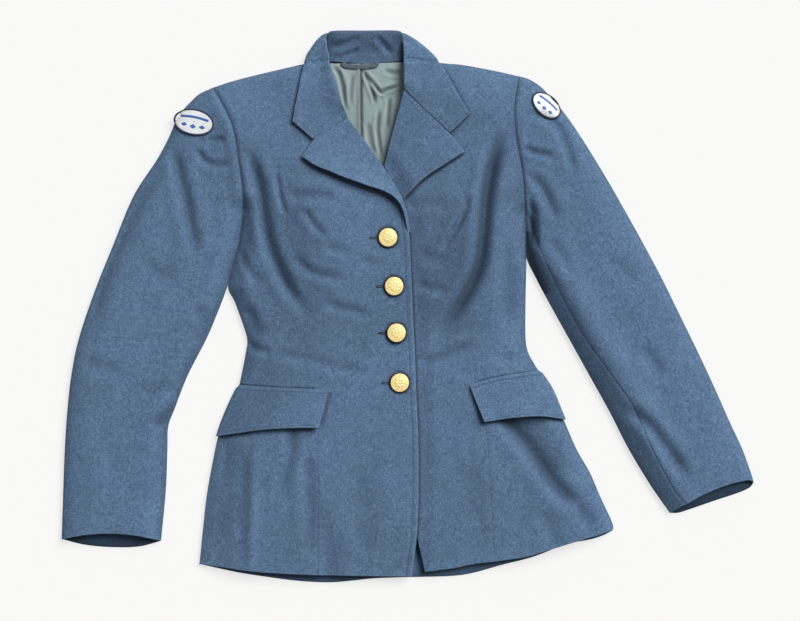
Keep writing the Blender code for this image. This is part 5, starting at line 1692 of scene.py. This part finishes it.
def gilt_material():
    """Gilt brass, rubbed pale on its high places and darker in its hollows."""
    material, tree, shader = new_material("gilt brass", roughness=0.45, metallic=0.3, specular=0.6)
    place = place_in_space(tree)
    slow = add_noise(tree, place, 190.0, 3.0)
    fine = add_noise(tree, place, 1500.0)
    hollow = tree.nodes.new("ShaderNodeNewGeometry").outputs["Pointiness"]
    worn = add_range(tree, hollow, 0.47, 0.53)
    colour = add_mix(tree, worn, (0.84, 0.60, 0.19), (1.0, 0.94, 0.52))
    colour = add_mix(tree, add_range(tree, slow, 0.45, 0.75, 0.0, 0.35), colour, (1.0, 0.80, 0.34))
    speck = add_noise(tree, place, 620.0)
    colour = add_mix(tree, add_range(tree, speck, 0.5, 0.68, 0.0, 0.6), colour, (0.76, 0.42, 0.09))
    # The turned edge is painted nearly black: painted shade where the button's edge turns under.
    colour = add_mix(tree, attribute(tree, "rim"), colour, (0.035, 0.025, 0.012))
    wire(tree, colour, shader.inputs["Base Color"])
    wire(tree, add_range(tree, slow, 0.3, 0.7, 0.36, 0.52), shader.inputs["Roughness"])
    wire(tree, add_bump(tree, fine, 0.12, 0.0002), shader.inputs["Normal"])
    return material


def make_materials():
    groups = heathered_weave(), wear_and_painted_shade()
    wool = Yarns(
        (0.079, 0.139, 0.236), (0.036, 0.072, 0.138), (0.156, 0.247, 0.372), (0.150, 0.235, 0.335),
    )
    satin = Yarns((0.25, 0.325, 0.33), (0.20, 0.27, 0.28), (0.30, 0.38, 0.385), (0.33, 0.40, 0.40))
    tape = Yarns((0.075, 0.105, 0.135), (0.045, 0.065, 0.09), (0.12, 0.16, 0.2), (0.14, 0.18, 0.22))
    return {
        "wool": woven_material(
            "blue-grey wool", groups, wool,
            roughness=0.9, specular=0.18, sheen=0.22, sheen_tint=(0.62, 0.78, 1.0),
        ),
        "lining": woven_material(
            "grey-green lining", groups, satin, coarse=1.6, relief=0.12, seam=0.75, uneven=0.06,
            roughness=0.5, specular=0.5, sheen=0.1,
        ),
        "tape": woven_material("loop tape", groups, tape, roughness=0.7, specular=0.4, sheen=0.1),
        "white": embroidery_material("white embroidery", (0.86, 0.88, 0.9), 0.3, (0.52, 0.56, 0.62)),
        "navy": embroidery_material("navy binding", (0.03, 0.035, 0.09), 0.9, (0.012, 0.014, 0.04)),
        "blue": embroidery_material("blue embroidery", (0.05, 0.16, 0.48), 1.2, (0.02, 0.07, 0.26)),
        "tone thread": thread_material("blue thread", (0.062, 0.108, 0.18), (0.035, 0.062, 0.11)),
        "dark thread": thread_material("dark thread", (0.02, 0.03, 0.05), (0.01, 0.014, 0.026)),
        "gilt": gilt_material(),
    }


# Camera, light and floor

PHOTO_MIDDLE = (-9.7, -5.3)
PHOTO_WIDTH = 1.0  # metres of the floor across the picture
CAMERA_HEIGHT = 3.2
SENSOR = 36.0
WINDOW_DIRECTION = (0.62, 0.66, 0.92)  # from the jacket towards the light
WINDOW_STRENGTH = 4.15
WINDOW_SOFTNESS = 38  # degrees
ROOM_STRENGTH = 0.22
FLOOR_REACH = 3.0
FLOOR_DROP = 0.0003  # just below the jacket
FLOOR_TONE = 0.2
FLOOR_GLOW = 0.71


def make_stage():
    camera = link("camera", bpy.data.cameras.new("camera"))
    camera.location = (PHOTO_MIDDLE[0] * MM, PHOTO_MIDDLE[1] * MM, CAMERA_HEIGHT)
    camera.data.sensor_width = SENSOR
    camera.data.lens = SENSOR * CAMERA_HEIGHT / PHOTO_WIDTH
    bpy.context.scene.camera = camera

    lamp = link("window", bpy.data.lights.new("window", "SUN"))
    lamp.data.energy = WINDOW_STRENGTH
    lamp.data.angle = math.radians(WINDOW_SOFTNESS)
    lamp.data.color = (1.0, 0.985, 0.96)
    lamp.rotation_euler = Vector(WINDOW_DIRECTION).to_track_quat("Z", "Y").to_euler()

    world = bpy.data.worlds.new("studio")
    bpy.context.scene.world = world
    world.use_nodes = True
    room = world.node_tree.nodes["Background"]
    room.inputs["Color"].default_value = (0.97, 0.985, 1.0, 1)
    room.inputs["Strength"].default_value = ROOM_STRENGTH

    mesh = bpy.data.meshes.new("floor")
    corners = [(x * FLOOR_REACH, y * FLOOR_REACH, 0) for x, y in ((-1, -1), (1, -1), (1, 1), (-1, 1))]
    mesh.from_pydata(corners, [], [(0, 1, 2, 3)])
    floor = link("floor", mesh)
    floor.location.z = -FLOOR_DROP
    material, _, shader = new_material("pale floor", roughness=0.9, specular=0.1)
    shader.inputs["Base Color"].default_value = (FLOOR_TONE, FLOOR_TONE, FLOOR_TONE, 1)
    shader.inputs["Emission Color"].default_value = (1.0, 1.0, 1.0, 1)
    shader.inputs["Emission Strength"].default_value = FLOOR_GLOW
    mesh.materials.append(material)
    bpy.context.scene.view_settings.view_transform = "Standard"


def make_jacket():
    looks = make_materials()
    wool, thread = looks["wool"], looks["tone thread"]
    make_sleeve_right(wool)
    make_sleeve_left(wool)
    creases = BODY_CREASES + SKIRT_CREASES
    right_body = upper_cloth(creases, 13.0, [STITCH_GROOVE], shades=BODY_SHADES)
    left_body = upper_cloth(creases, 17.0, dip=True, shades=BODY_SHADES)
    make_front("right", wool, right_body)
    make_front("left", wool, left_body)
    make_back("right", wool)
    make_back("left", wool)
    foot = (RIGHT_LAPEL_OUTER[-1], RIGHT_LAPEL_ROLL[-1])
    make_lapel(
        "right", wool, RIGHT_LAPEL_ROLL, RIGHT_LAPEL_OUTER, RIGHT_GORGE_END, foot,
        RIGHT_LAPEL_LIFT, right_lapel_drop, 35,
    )
    make_lapel(
        "left", wool, LEFT_LAPEL_ROLL, LEFT_LAPEL_OUTER, LEFT_GORGE_END, LEFT_LAPEL_TUCK[::-1],
        LEFT_LAPEL_LIFT, left_lapel_drop, -15,
    )
    make_collar(wool)
    make_stand(wool)
    make_lining(looks["lining"])
    make_loop(looks["tape"])
    # For each flap: where its edge lifts most, the painted shade of its outer part, and its grain.
    stitched = {
        "right": make_flap(
            "right", wool, RIGHT_SIDE_BELOW, RIGHT_FLAP_TOP, RIGHT_FLAP_LOWER, 0.85, 0.26, -2,
        ),
        "left": make_flap("left", wool, LEFT_SIDE_BELOW, LEFT_FLAP_TOP, LEFT_FLAP_LOWER, 0.5, 0.06, 4),
    }
    for side, (upper, lower) in stitched.items():
        stitches(f"{side}_flap_top_stitches", upper, thread)
        stitches(f"{side}_flap_lower_stitches", lower, thread)
    front_line = OVERLAP_EDGE[62:] - (FRONT_STITCH_INSET, 0)
    stitches("front_edge_stitches", along_cloth(front_line, right_body), thread)
    make_buttonholes(looks["dark thread"], right_body)
    make_buttons(looks["gilt"], right_body)
    right_arm = upper_cloth(RIGHT_SLEEVE_CREASES, 3.0, head=SLEEVE_HEAD)
    left_arm = upper_cloth(LEFT_SLEEVE_CREASES, 9.0, head=SLEEVE_HEAD)
    embroidery = looks["white"], looks["navy"], looks["blue"]
    make_badge("right", RIGHT_BADGE, right_arm, *embroidery)
    make_badge("left", LEFT_BADGE, left_arm, *embroidery)


make_stage()
make_jacket()
